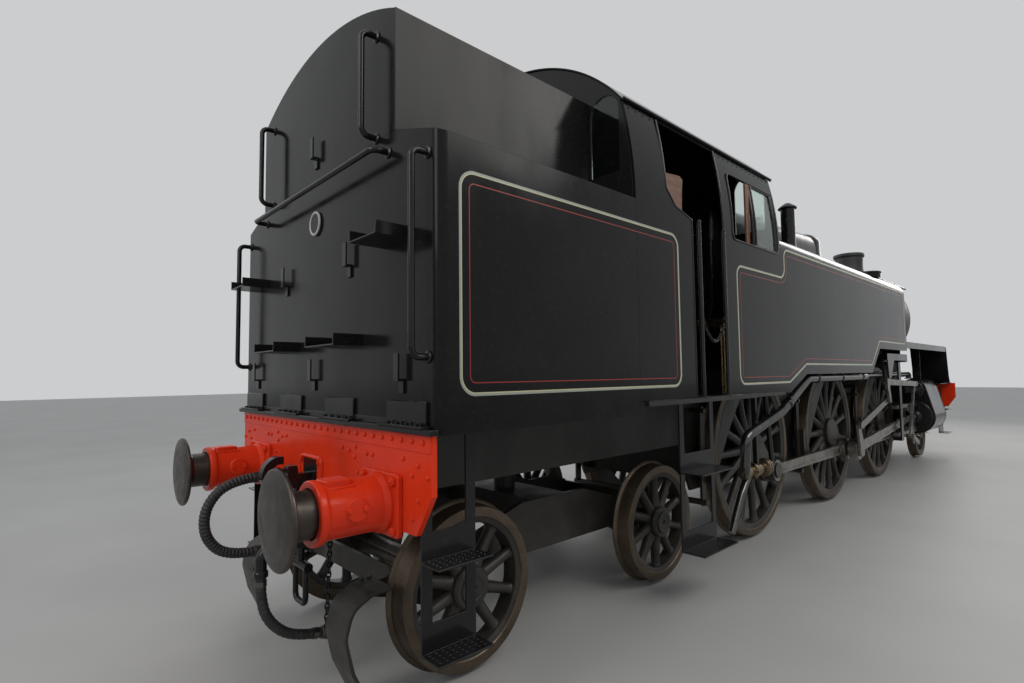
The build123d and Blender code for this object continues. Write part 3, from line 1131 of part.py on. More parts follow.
def wheelset(axle_x, axle_z, wheel, angles=None, pin_radius=PIN_R):
    """Add two wheels and their axle as separate solids, with crankpins on a coupled axle."""
    for side in SIDES:
        angle = angles[side] if angles else None
        spoked_wheel(axle_x, axle_z, side, wheel, angle)
        if angles:
            pin = crank_point((axle_x, axle_z), angle, CRANK)
            shaft(pin, pin_radius, mirrored_sorted(HUB_FACE + SEAT, PIN_END, side))
            collar = mirrored_sorted(ROD_OUTER + 6, PIN_END, side)
            shaft(pin, pin_radius + 18, collar)
    shaft((axle_x, axle_z), wheel.journal, (-HUB_BACK + SEAT, HUB_BACK - SEAT))


for number, axle in enumerate(reversed(COUPLED_X), start=1):
    pin_radius = BIG_PIN_R if axle == MAIN_X else PIN_R
    with BuildPart() as driver_wheelset:
        wheelset(axle, DRIVER_Z, DRIVER, CRANK_ANGLE, pin_radius)
    driver_wheelset.part.label = f"driver_wheelset_{number}"
    export_step(driver_wheelset.part, f"parts/driver_wheelset_{number}.step")

for axle, name in ((PONY_X, "pony_wheelset"), (BOGIE_LEAD_X, "bogie_wheelset_front"),
                   (BOGIE_TRAIL_X, "bogie_wheelset_rear")):
    with BuildPart() as carrying_wheelset:
        wheelset(axle, CARRIER_Z, CARRIER)
    carrying_wheelset.part.label = name
    export_step(carrying_wheelset.part, f"parts/{name}.step")

# Coupling rods in two sections with a knuckle ahead of the main crankpin
KNUCKLE = 255.0
KNUCKLE_R = 30.0
ROD_Y = (882.0, 924.0)
TONGUE_Y = (892.0, 914.0)
ROD_BOSS = 112.0
MAIN_BOSS = 132.0
for side, name in ((1, "coupling_rod_left"), (-1, "coupling_rod_right")):
    pins = [crank_point((axle, DRIVER_Z), CRANK_ANGLE[side], CRANK) for axle in COUPLED_X]
    level = pins[0][1]
    knuckle = (pins[1][0] + KNUCKLE, level)
    with BuildPart() as coupling_rod:
        link((pins[0], pins[1]), (56, 62), ROD_Y)
        link((pins[1], knuckle), (70, 74), (ROD_Y[0] - 8, ROD_Y[1] + 8))
        shaft(pins[0], ROD_BOSS, (ROD_INNER, ROD_OUTER))
        shaft(pins[1], MAIN_BOSS, (ROD_INNER, ROD_OUTER))
        for low, high in ((ROD_Y[0], ROD_Y[0] + 10), (ROD_Y[1] - 10, ROD_Y[1])):
            flute_x = (pins[0][0] + ROD_BOSS + 60, pins[1][0] - MAIN_BOSS - 60)
            block(flute_x, (low, high), (level - 30, level + 30), mode=Mode.SUBTRACT)
        slot_x = (knuckle[0] - 84, knuckle[0] + 90)
        block(slot_x, (TONGUE_Y[0] - SEAT, TONGUE_Y[1] + SEAT), (level - 90, level + 90),
              mode=Mode.SUBTRACT)
        shaft(knuckle, KNUCKLE_R + PIN_PLAY, (ROD_INNER, ROD_OUTER), mode=Mode.SUBTRACT)
        link((knuckle, (knuckle[0] + 150, level)), (72, 58), TONGUE_Y)
        front_x = (knuckle[0] + 120, pins[2][0])
        block(front_x, ROD_Y, (level - 56, level + 56))
        shaft(pins[2], ROD_BOSS, (ROD_INNER, ROD_OUTER))
        for low, high in ((ROD_Y[0], ROD_Y[0] + 10), (ROD_Y[1] - 10, ROD_Y[1])):
            flute_x = (knuckle[0] + 190, pins[2][0] - ROD_BOSS - 60)
            block(flute_x, (low, high), (level - 30, level + 30), mode=Mode.SUBTRACT)
        shaft(knuckle, KNUCKLE_R + PIN_PLAY, TONGUE_Y, mode=Mode.SUBTRACT)
        for pin, radius in zip(pins, (PIN_R, BIG_PIN_R, PIN_R)):
            shaft(pin, radius + PIN_PLAY, (ROD_INNER - 1, ROD_OUTER + 1), mode=Mode.SUBTRACT)
        shaft(knuckle, KNUCKLE_R, (ROD_Y[0] - 10, ROD_Y[1] + 10))
        if side < 0:
            mirror(about=Plane.XZ, mode=Mode.REPLACE)
    coupling_rod.part.label = name
    export_step(coupling_rod.part, f"parts/{name}.step")

# Pony truck: radial arm frame with inside axleboxes and guard irons
TRUCK_Y = (520.0, 556.0)
GUARD_FOOT = 95.0        # guard iron tip above the flange tips
with BuildPart() as pony_truck:
    for side in SIDES:
        truck_y = mirrored_sorted(*TRUCK_Y, side)
        frame = (
            (PONY_X - 620, CARRIER_Z - 55), (PONY_X - 620, CARRIER_Z + 85), (PONY_X - 160, CARRIER_Z + 150),
            (PONY_X + 160, CARRIER_Z + 150), (PONY_X + 440, CARRIER_Z + 85),
            (PONY_X + 440, CARRIER_Z - 55), (PONY_X + 160, CARRIER_Z - 125),
            (PONY_X - 160, CARRIER_Z - 125),
        )
        side_plate(frame, truck_y)
        guard = (
            (PONY_X + 400, CARRIER_Z + 60), (PONY_X + 440, CARRIER_Z + 60),
            (PONY_X + 560, GUARD_FOOT + 150), (PONY_X + 560, GUARD_FOOT),
            (PONY_X + 530, GUARD_FOOT), (PONY_X + 530, GUARD_FOOT + 140),
        )
        side_plate(guard, mirrored_sorted(TRUCK_Y[0], TRUCK_Y[1], side))
    for rear in (PONY_X - 600, PONY_X + 390):
        block((rear, rear + 40), (-TRUCK_Y[1], TRUCK_Y[1]), (CARRIER_Z - 50, CARRIER_Z + 70))
    arm = ((PONY_PIN_X, -90), (PONY_PIN_X, 90), (PONY_X - 600, 300), (PONY_X - 600, -300))
    with BuildSketch(Plane.XY.offset(CARRIER_Z - 40)) as radial_arm:
        with BuildLine():
            Polyline(*arm, close=True)
        make_face()
    extrude(radial_arm.sketch, amount=70)
    post((PONY_PIN_X, 0), 130, (CARRIER_Z - 50, CARRIER_Z + 45))
    post((PONY_PIN_X, 0), PONY_PIN_R + PIN_PLAY, (CARRIER_Z - 51, CARRIER_Z + 46), mode=Mode.SUBTRACT)
    shaft((PONY_X, CARRIER_Z), CARRIER.journal + PIN_PLAY, (-TRUCK_Y[1] - 1, TRUCK_Y[1] + 1),
          mode=Mode.SUBTRACT)
pony_truck.part.label = "pony_truck"
export_step(pony_truck.part, "parts/pony_truck.step")

# Bogie frame: inside plates, bolster with its centre bearing, and end stays
with BuildPart() as bogie_frame:
    for side in SIDES:
        bogie_plate = (
            (BOGIE_TRAIL_X - 380, CARRIER_Z - 20), (BOGIE_TRAIL_X - 380, CARRIER_Z + 130),
            (BOGIE_TRAIL_X - 150, CARRIER_Z + 190), (BOGIE_TRAIL_X + 200, CARRIER_Z + 190),
            (BOGIE_X - 330, CARRIER_Z + 330), (BOGIE_X + 330, CARRIER_Z + 330),
            (BOGIE_LEAD_X - 200, CARRIER_Z + 190), (BOGIE_LEAD_X + 150, CARRIER_Z + 190),
            (BOGIE_LEAD_X + 330, CARRIER_Z + 130), (BOGIE_LEAD_X + 330, CARRIER_Z - 20),
            (BOGIE_LEAD_X + 150, CARRIER_Z - 135), (BOGIE_LEAD_X - 150, CARRIER_Z - 135),
            (BOGIE_LEAD_X - 350, CARRIER_Z - 20), (BOGIE_TRAIL_X + 350, CARRIER_Z - 20),
            (BOGIE_TRAIL_X + 150, CARRIER_Z - 135), (BOGIE_TRAIL_X - 150, CARRIER_Z - 135),
        )
        side_plate(bogie_plate, mirrored_sorted(*TRUCK_Y, side))
        guard = (
            (BOGIE_TRAIL_X - 340, CARRIER_Z + 100), (BOGIE_TRAIL_X - 380, CARRIER_Z + 100),
            (BOGIE_TRAIL_X - 540, GUARD_FOOT + 150), (BOGIE_TRAIL_X - 540, GUARD_FOOT),
            (BOGIE_TRAIL_X - 510, GUARD_FOOT), (BOGIE_TRAIL_X - 510, GUARD_FOOT + 140),
        )
        side_plate(guard, mirrored_sorted(*TRUCK_Y, side))
    bolster_z = (CARRIER_Z + 170, CARRIER_Z + 320)
    block((BOGIE_X - 180, BOGIE_X + 180), (-TRUCK_Y[1], TRUCK_Y[1]), bolster_z)
    for rear in (BOGIE_TRAIL_X - 370, BOGIE_LEAD_X + 300):
        block((rear, rear + 30), (-TRUCK_Y[1], TRUCK_Y[1]), (CARRIER_Z - 10, CARRIER_Z + 120))
    post((BOGIE_X, 0), BOGIE_PIN_R + PIN_PLAY, (CARRIER_Z + 100, CARRIER_Z + 400), mode=Mode.SUBTRACT)
    for axle in (BOGIE_LEAD_X, BOGIE_TRAIL_X):
        shaft((axle, CARRIER_Z), CARRIER.journal + PIN_PLAY, (-TRUCK_Y[1] - 1, TRUCK_Y[1] + 1),
              mode=Mode.SUBTRACT)
bogie_frame.part.label = "bogie_frame"
export_step(bogie_frame.part, "parts/bogie_frame.step")

# Brake gear behind each coupled axle, ashpan
BLOCK_GAP = 9.0
BLOCK_THICK = 62.0
HANGER_TOP = BEAM_TOP - 90.0
HANGER_FOOT = 500.0
with BuildPart() as brake_gear:
    for axle in COUPLED_X:
        hang_x = axle - DRIVER.tread - BLOCK_GAP - BLOCK_THICK - 26
        for side in SIDES:
            block_y = mirrored_sorted(WHEEL_BACK + 42, WHEEL_FACE - 6, side)
            plane = Plane.XZ.offset(-block_y[0])
            with BuildSketch(plane) as shoe:
                with Locations((axle, DRIVER_Z)):
                    Circle(DRIVER.tread + BLOCK_GAP + BLOCK_THICK)
                    Circle(DRIVER.tread + BLOCK_GAP, mode=Mode.SUBTRACT)
                with Locations((hang_x, DRIVER_Z - 60)):
                    Rectangle(260, 330, mode=Mode.INTERSECT)
            extrude(shoe.sketch, amount=block_y[0] - block_y[1])
            hang_y = mirrored_sorted(744, 768, side)
            hanger = ((hang_x, HANGER_TOP), (hang_x - 6, HANGER_FOOT))
            link(hanger, (40, 36), hang_y)
            shaft((hang_x, HANGER_TOP), 24, mirrored_sorted(FRAME_OUT, 790, side))
        shaft((hang_x - 6, HANGER_FOOT), 28, (-800, 800))
brake_gear.part.label = "brake_gear"
export_step(brake_gear.part, "parts/brake_gear.step")

ASHPAN_SECTION = ((-585, FIREBOX_FOOT), (585, FIREBOX_FOOT), (585, 930), (400, 560), (-400, 560),
                  (-585, 930))
with BuildPart() as ashpan:
    cross_plate(ASHPAN_SECTION, (TRAIL_X + 230, MAIN_X - 310))
ashpan.part.label = "ashpan"
export_step(ashpan.part, "parts/ashpan.step")

# Footsteps: a hanging plate with two treads
# Columns: rear X, front X, plate Y, outer Y, plate top Z, upper tread Z, lower tread Z
FOOTSTEPS = (
    (BUNKER_X + 35.0, BUNKER_X + 355.0, 1150.0, 1300.0, BODY_LOW, FLANGE + 810.0, FLANGE + 391.0),
    (BUNKER_X + 2270.0, BUNKER_X + 2785.0, 1180.0, 1365.0, FLOOR_TOP - FLOOR_THICK, FLANGE + 940.0,
     FLANGE + 370.0),
    (BEAM_X - 560.0, BEAM_X - 160.0, 1080.0, 1235.0, BEAM_TOP, FLANGE + 900.0, FLANGE + 450.0),
)
with BuildPart() as footsteps:
    for rear, front, plate, outer, top, upper, lower in FOOTSTEPS:
        for side in SIDES:
            hang_y = mirrored_sorted(plate, plate + 12, side)
            for post_x in (rear, front - 60):
                block((post_x, post_x + 60), hang_y, (lower - 10, top))
            for tread in (upper, lower):
                block((rear, front), mirrored_sorted(plate, outer, side), (tread - 10, tread))
                block((rear, front), hang_y, (tread - 10, tread + 130))
footsteps.part.label = "footsteps"
export_step(footsteps.part, "parts/footsteps.step")

# Small pieces on the bunker's rear sheet: step trays, lamp irons and a blank round plate
# Columns: inner Y, outer Y, tread Z, reach behind the sheet
TRAYS = (
    (830.0, 1100.0, FLANGE + 2345.0, 190.0),
    (250.0, 620.0, FLANGE + 1850.0, 170.0),
)
# Columns: Y, foot Z
IRONS = (
    (470.0, FLANGE + 2296.0),
    (-470.0, FLANGE + 2296.0),
    (1030.0, FLANGE + 1650.0),
    (0.0, FLANGE + 1650.0),
    (-1030.0, FLANGE + 1650.0),
    (0.0, FLANGE + 3060.0),
)
TRAY_SHEET = 8.0
TRAY_LIP = 55.0
IRON_REACH = 42.0
IRON_TALL = 135.0
IRON_HALF = 22.0
ROUND_PLATE_Z = FLANGE + 2645.0
ROUND_PLATE_R = 77.0
with BuildPart() as bunker_fittings:
    for near, far, tread, reach in TRAYS:
        for side in SIDES:
            tray_y = mirrored_sorted(near, far, side)
            tray_x = (BUNKER_REAR - reach, BUNKER_REAR)
            block(tray_x, tray_y, (tread - TRAY_SHEET, tread))
            block((BUNKER_REAR - TRAY_SHEET, BUNKER_REAR), tray_y, (tread - TRAY_SHEET, tread + TRAY_LIP))
            for edge in (tray_y[0], tray_y[1] - TRAY_SHEET):
                block(tray_x, (edge, edge + TRAY_SHEET), (tread - TRAY_SHEET, tread + TRAY_LIP))
    for y, foot in IRONS:
        iron_y = (y - IRON_HALF, y + IRON_HALF)
        block((BUNKER_REAR - 12, BUNKER_REAR), iron_y, (foot - 60, foot + 12))
        block((BUNKER_REAR - IRON_REACH, BUNKER_REAR), iron_y, (foot, foot + 12))
        tongue_x = (BUNKER_REAR - IRON_REACH, BUNKER_REAR - IRON_REACH + 10)
        block(tongue_x, iron_y, (foot, foot + IRON_TALL))
    barrel((0, ROUND_PLATE_Z), ROUND_PLATE_R, (BUNKER_REAR - 8, BUNKER_REAR))
bunker_fittings.part.label = "bunker_fittings"
export_step(bunker_fittings.part, "parts/bunker_fittings.step")

# Handrails: round bars whose ends meet the sheet square on
RAIL_R = 15.0
RAIL_OFF = 75.0
RAIL_BEND = 40.0
# Columns: Y, low Z, high Z, on the bunker's rear sheet
REAR_RAILS = (
    (1250.0, FLANGE + 1760.0, FLANGE + 2720.0),
    (-1250.0, FLANGE + 1760.0, FLANGE + 2720.0),
    (765.0, FLANGE + 2945.0, FLANGE + 3510.0),
    (-765.0, FLANGE + 2945.0, FLANGE + 3510.0),
)
CROSS_RAIL_HALF = 890.0
CROSS_RAIL_Z = FLANGE + 2830.0
DOOR_RAIL_Y = 1350.0
DOOR_RAIL_TOP = FLANGE + 2800.0
BOILER_RAIL_X = (TANK_FRONT + 260.0, SMOKEBOX_FRONT - 160.0)
BOILER_RAIL_Z = BOILER_Z + 560.0
BOILER_RAIL_Y = 800.0
STANCHIONS = 4
with BuildPart() as handrails:
    face = BUNKER_REAR
    for y, low, high in REAR_RAILS:
        rod(((face, y, low), (face - RAIL_OFF, y, low), (face - RAIL_OFF, y, high), (face, y, high)),
            RAIL_R, RAIL_BEND)
    half, high = CROSS_RAIL_HALF, CROSS_RAIL_Z
    rod(((face, -half, high), (face - RAIL_OFF, -half, high), (face - RAIL_OFF, half, high),
         (face, half, high)), RAIL_R, RAIL_BEND)
    for side in SIDES:
        for x in (DOOR_REAR + 70, DOOR_FRONT - 45):
            post((x, side * DOOR_RAIL_Y), RAIL_R, (FLOOR_TOP, DOOR_RAIL_TOP))
        y = side * BOILER_RAIL_Y
        with BuildSketch(Plane.YZ.offset(BOILER_RAIL_X[0])) as bar:
            with Locations((y, BOILER_RAIL_Z)):
                Circle(RAIL_R)
        extrude(bar.sketch, amount=BOILER_RAIL_X[1] - BOILER_RAIL_X[0])
        for step in range(STANCHIONS):
            spread = BOILER_RAIL_X[1] - BOILER_RAIL_X[0] - 120
            x = BOILER_RAIL_X[0] + 60 + step * spread / (STANCHIONS - 1)
            block((x - 12, x + 12), mirrored_sorted(500, BOILER_RAIL_Y, side),
                  (BOILER_RAIL_Z - 12, BOILER_RAIL_Z + 12))
    rail_reach = (BARREL_REAR, SMOKEBOX_FRONT)
    barrel((0, BOILER_Z), SMOKEBOX_R + SEAT, rail_reach, mode=Mode.SUBTRACT)
handrails.part.label = "handrails"
export_step(handrails.part, "parts/handrails.step")

# Routes of the brake and heating hoses at the rear, as headings in degrees and run lengths.
# A heading turns from rearwards towards down
VACUUM_RUNS = ((0.0, 185.0), (45.0, 190.0), (90.0, 190.0), (135.0, 190.0), (180.0, 185.0))
HEAT_RUNS = ((90.0, 145.0), (117.0, 150.0), (144.0, 150.0), (171.0, 145.0))


def route(start, y, runs):
    """Give the corner points of a hose in a plane of constant Y."""
    points = [(start[0], y, start[1])]
    for heading, length in runs:
        x, _, z = points[-1]
        points.append((x - length * cos(radians(heading)), y, z - length * sin(radians(heading))))
    return points


# Pipework: injectors below the cab, the right one with the feed pipe along the tank's lower
# edge, standpipes at the ends for the brake and heating hoses, and vents on the tanks
INJECTOR_X = (BUNKER_X + 3370.0, BUNKER_X + 3910.0)
INJECTOR_Y = 1150.0
INJECTOR_Z = FLANGE + 790.0
FEED_R = 42.0
FEED_Y = 1272.0
FEED_INNER_Y = 950.0
FEED_Z = SKIRT_Z - FEED_R - 6.0
FEED_FOOT_X = 4200.0
FEED_BEND = 60.0
HOSE_R = 31.0
HOSE_Y = 330.0
HOSE_TOP_Z = 1075.0
HOSE_START_REACH = BEAM_X + 191.0
HEAT_R = 27.5
HEAT_Y = -250.0
HEAT_START = (BUNKER_X - 376.0, 645.0)
HEAT_PIPE_Z = 780.0
HEAT_HEAD = 80.0
COLLAR = 26.0
BEND_SHARE = 0.45
VACUUM_ROUTE = route((-HOSE_START_REACH, HOSE_TOP_Z), HOSE_Y, VACUUM_RUNS)
HEAT_ROUTE = route(HEAT_START, HEAT_Y, HEAT_RUNS)
HOSE_LOW_Z = VACUUM_ROUTE[-1][2]
VENT_X = -1490.0
VENT_Y = 1090.0
VENT_R = 72.0
VENT_TOP = FLANGE + 3440.0


def injector(side):
    """Add an injector with its ring flanges, its bent overflow pipe and its hanger."""
    y = side * INJECTOR_Y
    barrel((y, INJECTOR_Z), 52, INJECTOR_X)
    for ring in (INJECTOR_X[0] + 150, INJECTOR_X[1] - 150, INJECTOR_X[1] - 110):
        barrel((y, INJECTOR_Z), 84, (ring, ring + 24))
    rod(((INJECTOR_X[0] + 140, y, INJECTOR_Z), (INJECTOR_X[0] - 40, y, INJECTOR_Z - 170),
         (INJECTOR_X[0] - 250, y, INJECTOR_Z - 464)), 30, FEED_BEND)
    block((INJECTOR_X[0] + 250, INJECTOR_X[0] + 290), (y - 20, y + 20), (INJECTOR_Z, FLOOR_TOP - FLOOR_THICK))


with BuildPart() as feed_pipe:
    injector(-1)
    run = (
        (INJECTOR_X[0] + 30, -INJECTOR_Y, INJECTOR_Z), (INJECTOR_X[0] - 90, -INJECTOR_Y - 60, INJECTOR_Z + 20),
        (INJECTOR_X[0] - 90, -INJECTOR_Y - 80, INJECTOR_Z + 330), (BUNKER_X + 3980, -FEED_Y + 12, 1325),
        (BUNKER_X + 4650, -FEED_Y, FEED_Z), (BUNKER_X + 6690, -FEED_Y, FEED_Z),
        (BUNKER_X + 6760, -FEED_INNER_Y, FEED_Z), (FEED_FOOT_X, -FEED_INNER_Y, FEED_Z),
        (FEED_FOOT_X, -FEED_INNER_Y, VALVE_TOP + SEAT),
    )
    rod(run, FEED_R, FEED_BEND)
    post((FEED_FOOT_X, -FEED_INNER_Y), FEED_R + 22, (VALVE_TOP + SEAT, VALVE_TOP + 18))
feed_pipe.part.label = "feed_pipe"
export_step(feed_pipe.part, "parts/feed_pipe.step")

with BuildPart() as pipework:
    injector(1)
    for side in SIDES:
        post((VENT_X, side * VENT_Y), VENT_R, (TANK_CROWN, VENT_TOP))
        cap = ((0, 0), (VENT_R + 24, 0), (VENT_R + 24, 12), (20, 74), (0, 74))
        turned(cap, (VENT_X, side * VENT_Y, VENT_TOP - 1), (0, 0, 1))
    for end in ENDS:
        hose_x = end * HOSE_START_REACH
        barrel((HOSE_Y, HOSE_TOP_Z), HOSE_R + 3, sorted((end * BEAM_X, hose_x)))
        barrel((HOSE_Y, HOSE_TOP_Z), HOSE_R + 10, sorted((hose_x, hose_x - end * COLLAR)))
    hook_x = BUNKER_X + BEAM_THICK / 2
    barrel((HOSE_Y, HOSE_LOW_Z), HOSE_R + 10, (-HOSE_START_REACH, -HOSE_START_REACH + COLLAR))
    barrel((HOSE_Y, HOSE_LOW_Z), 18, (-HOSE_START_REACH + COLLAR - 1, hook_x))
    post((hook_x, HOSE_Y), 14, (HOSE_LOW_Z, BEAM_LOW))
    rod(((hook_x, HEAT_Y, BEAM_LOW), (hook_x, HEAT_Y, HEAT_PIPE_Z), (HEAT_START[0], HEAT_Y, HEAT_PIPE_Z),
         (HEAT_START[0], HEAT_Y, HEAT_START[1] + COLLAR - 1)), 30, FEED_BEND)
    post((HEAT_START[0], HEAT_Y), HEAT_R + 10, (HEAT_START[1], HEAT_START[1] + COLLAR))
    last = Vector(*HEAT_ROUTE[-1])
    heading = (last - Vector(*HEAT_ROUTE[-2])).normalized()
    rod((last, last + heading * HEAT_HEAD), HEAT_R + 10, FEED_BEND)
    rod((last + heading * HEAT_HEAD / 2, (hook_x, HEAT_Y, BEAM_LOW - 20)), 6, FEED_BEND)
pipework.part.label = "pipework"
export_step(pipework.part, "parts/pipework.step")


def hose(corners, radius):
    """Sweep a hose along straight runs, with an arc at each turn, and give the arcs' radii."""
    bends = []
    for before, turning, after in zip(corners, corners[1:], corners[2:]):
        arriving = Vector(*turning) - Vector(*before)
        leaving = Vector(*after) - Vector(*turning)
        half_turn = radians(arriving.get_angle(leaving)) / 2
        bends.append(BEND_SHARE * min(arriving.length, leaving.length) / tan(half_turn))
    with BuildLine() as path:
        FilletPolyline(*corners, radius=bends)
    with BuildSketch(Plane(origin=path.line @ 0, z_dir=path.line % 0)) as section:
        Circle(radius)
    sweep(section.sketch, path=path.line)
    return bends


with BuildPart() as vacuum_hose:
    vacuum_bends = hose(VACUUM_ROUTE, HOSE_R)
vacuum_hose.part.label = "vacuum_hose"
export_step(vacuum_hose.part, "parts/vacuum_hose.step")

with BuildPart() as steam_heat_hose:
    heat_bends = hose(HEAT_ROUTE, HEAT_R)
steam_heat_hose.part.label = "steam_heat_hose"
export_step(steam_heat_hose.part, "parts/steam_heat_hose.step")

for name, bends, radius in (("vacuum_hose", vacuum_bends, HOSE_R), ("steam_heat_hose", heat_bends, HEAT_R)):
    print(name, [round(bend, 1) for bend in bends], round(min(bends) / (2 * radius), 2), "diameters")

# Footplate controls: fire door, regulator, gauges, reversing column with its wheel, seats
CONTROL_X = FIREBOX_REAR - SEAT
FIRE_DOOR_HALF = 190.0
FIRE_DOOR_Z = (FLOOR_TOP + 260.0, FLOOR_TOP + 560.0)
REGULATOR_Z = BOILER_Z + 40.0
GAUGE_Y = 180.0
GLASS_Y = 330.0
COLUMN = (CONTROL_X - 290.0, 780.0)
COLUMN_TOP = FLOOR_TOP + 900.0
HAND_WHEEL_R = 160.0
CHAIR_X = (SIDE_WINDOW[0] + 60.0, SIDE_WINDOW[0] + 410.0)
CHAIR_Y = (960.0, 1280.0)
CHAIR_Z = FLOOR_TOP + 640.0
with BuildPart() as footplate_controls:
    block((CONTROL_X - 34, CONTROL_X), (-FIRE_DOOR_HALF, FIRE_DOOR_HALF), FIRE_DOOR_Z)
    barrel((0, REGULATOR_Z), 26, (CONTROL_X - 90, CONTROL_X))
    block((CONTROL_X - 88, CONTROL_X - 64), (-20, 430), (REGULATOR_Z - 15, REGULATOR_Z + 15))
    for side in SIDES:
        barrel((side * GAUGE_Y, FIREBOX_TOP_REAR - 230), 85, (CONTROL_X - 50, CONTROL_X))
        post((CONTROL_X - 60, side * GLASS_Y), 18, (BOILER_Z + 100, BOILER_Z + 430))
        for level in (BOILER_Z + 110, BOILER_Z + 400):
            glass_y = (side * GLASS_Y - 15, side * GLASS_Y + 15)
            block((CONTROL_X - 74, CONTROL_X), glass_y, (level, level + 24))
        chair_y = mirrored_sorted(*CHAIR_Y, side)
        block(CHAIR_X, chair_y, (CHAIR_Z - 60, CHAIR_Z))
        post((sum(CHAIR_X) / 2, sum(chair_y) / 2), 34, (FLOOR_TOP, CHAIR_Z - 59))
    post(COLUMN, 40, (FLOOR_TOP, COLUMN_TOP))
    barrel((COLUMN[1], COLUMN_TOP - 60), 30, (COLUMN[0] - 90, COLUMN[0]))
    wheel_x = (COLUMN[0] - 90, COLUMN[0] - 70)
    barrel((COLUMN[1], COLUMN_TOP - 60), HAND_WHEEL_R, wheel_x)
    with BuildSketch(Plane.YZ.offset(wheel_x[0])) as gaps:
        with Locations((COLUMN[1], COLUMN_TOP - 60)):
            with PolarLocations(85, 4, start_angle=45):
                Circle(42)
    extrude(gaps.sketch, amount=20, mode=Mode.SUBTRACT)
footplate_controls.part.label = "footplate_controls"
export_step(footplate_controls.part, "parts/footplate_controls.step")

# Window glass: round-topped panes in the bulkheads, fixed half panes in the cab sides
PANE = 6.0
PANE_INSET = (WALL - PANE) / 2
pane_rear = (SIDE_WINDOW[0] + SIDE_WINDOW[1]) / 2
pane_front = SIDE_WINDOW[1] - SEAT
pane_z = (SIDE_WINDOW[2] + SEAT, SIDE_WINDOW[3] - SEAT)
with BuildPart() as side_pane:
    with BuildSketch(Plane.YZ.offset(pane_rear)) as glass_sheet:
        with BuildLine():
            outer = side_section(PANE_INSET)
            inner = side_section(PANE_INSET + PANE)
            Line(outer[0] @ 0, inner[0] @ 0)
            Line(outer[1] @ 1, inner[1] @ 1)
        make_face()
    extrude(amount=pane_front - pane_rear)
    with BuildSketch(Plane.XZ.offset(60 - GUTTER_Y)) as pane_edge:
        with Locations(((pane_rear + pane_front) / 2, sum(pane_z) / 2)):
            Rectangle(pane_front - pane_rear, pane_z[1] - pane_z[0])
        fillet(pane_edge.vertices().group_by(Axis.X)[-1], radius=WINDOW_CORNER)
    extrude(pane_edge.sketch, amount=GUTTER_Y - BODY_HALF - 70, mode=Mode.INTERSECT)

with BuildPart() as cab_glass:
    add(side_pane.part)
    mirror(side_pane.part, about=Plane.XZ)
    for window, wall in ((REAR_WINDOW, REAR_WALL), (FRONT_WINDOW, FRONT_WALL)):
        low_y, high_y, sill, spring = window
        middle_y = (low_y + high_y) / 2
        half_pane = (high_y - low_y) / 2 - SEAT
        with BuildSketch(Plane.YZ.offset(wall[0] + PANE_INSET)) as panes:
            for side in SIDES:
                with Locations((side * middle_y, (sill + SEAT + spring) / 2)):
                    Rectangle(2 * half_pane, spring - sill - SEAT)
                with Locations((side * middle_y, spring)):
                    Circle(half_pane)
        extrude(panes.sketch, amount=PANE)
cab_glass.part.label = "cab_glass"
export_step(cab_glass.part, "parts/cab_glass.step")
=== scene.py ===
"""Steam tank locomotive: surfaces, lining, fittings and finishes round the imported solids.

Metres. X runs forward, Y to the left and Z up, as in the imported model. Each finished piece
sits at the origin with its place in its mesh.
"""
import json
from math import acos, atan2, cos, pi, radians, sin, sqrt, tan

import bmesh
import bpy
import numpy as np
from bpy.props import FloatProperty, FloatVectorProperty, IntProperty, PointerProperty
from mathutils import Matrix, Vector


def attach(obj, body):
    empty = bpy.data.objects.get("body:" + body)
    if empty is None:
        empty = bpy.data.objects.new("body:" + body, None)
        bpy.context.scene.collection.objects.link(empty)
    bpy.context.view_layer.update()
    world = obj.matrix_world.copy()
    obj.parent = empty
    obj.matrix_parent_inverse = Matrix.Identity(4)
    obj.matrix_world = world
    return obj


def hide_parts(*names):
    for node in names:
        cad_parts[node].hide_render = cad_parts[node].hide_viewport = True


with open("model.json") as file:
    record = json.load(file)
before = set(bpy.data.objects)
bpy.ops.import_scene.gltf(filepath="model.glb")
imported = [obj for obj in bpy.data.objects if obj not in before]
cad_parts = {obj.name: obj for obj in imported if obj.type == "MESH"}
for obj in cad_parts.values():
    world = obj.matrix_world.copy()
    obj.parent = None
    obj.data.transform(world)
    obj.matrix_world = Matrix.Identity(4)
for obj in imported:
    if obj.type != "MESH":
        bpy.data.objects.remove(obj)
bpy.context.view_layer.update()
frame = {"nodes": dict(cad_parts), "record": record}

bl_info = {
    "name": "Steam tank locomotive",
    "version": (1, 0, 0),
    "blender": (4, 5, 0),
    "location": "View3D > Sidebar > Engine",
    "description": "Dresses the packed solids of a steam tank locomotive",
    "category": "Object",
}

BODY_OF = {node: body for body, nodes in frame["record"]["behaviour"]["bodies"].items() for node in nodes}
SIDES = (1, -1)          # left, right
ENDS = (1, -1)           # front, rear
AHEAD, UP = (1, 0, 0), (0, 0, 1)

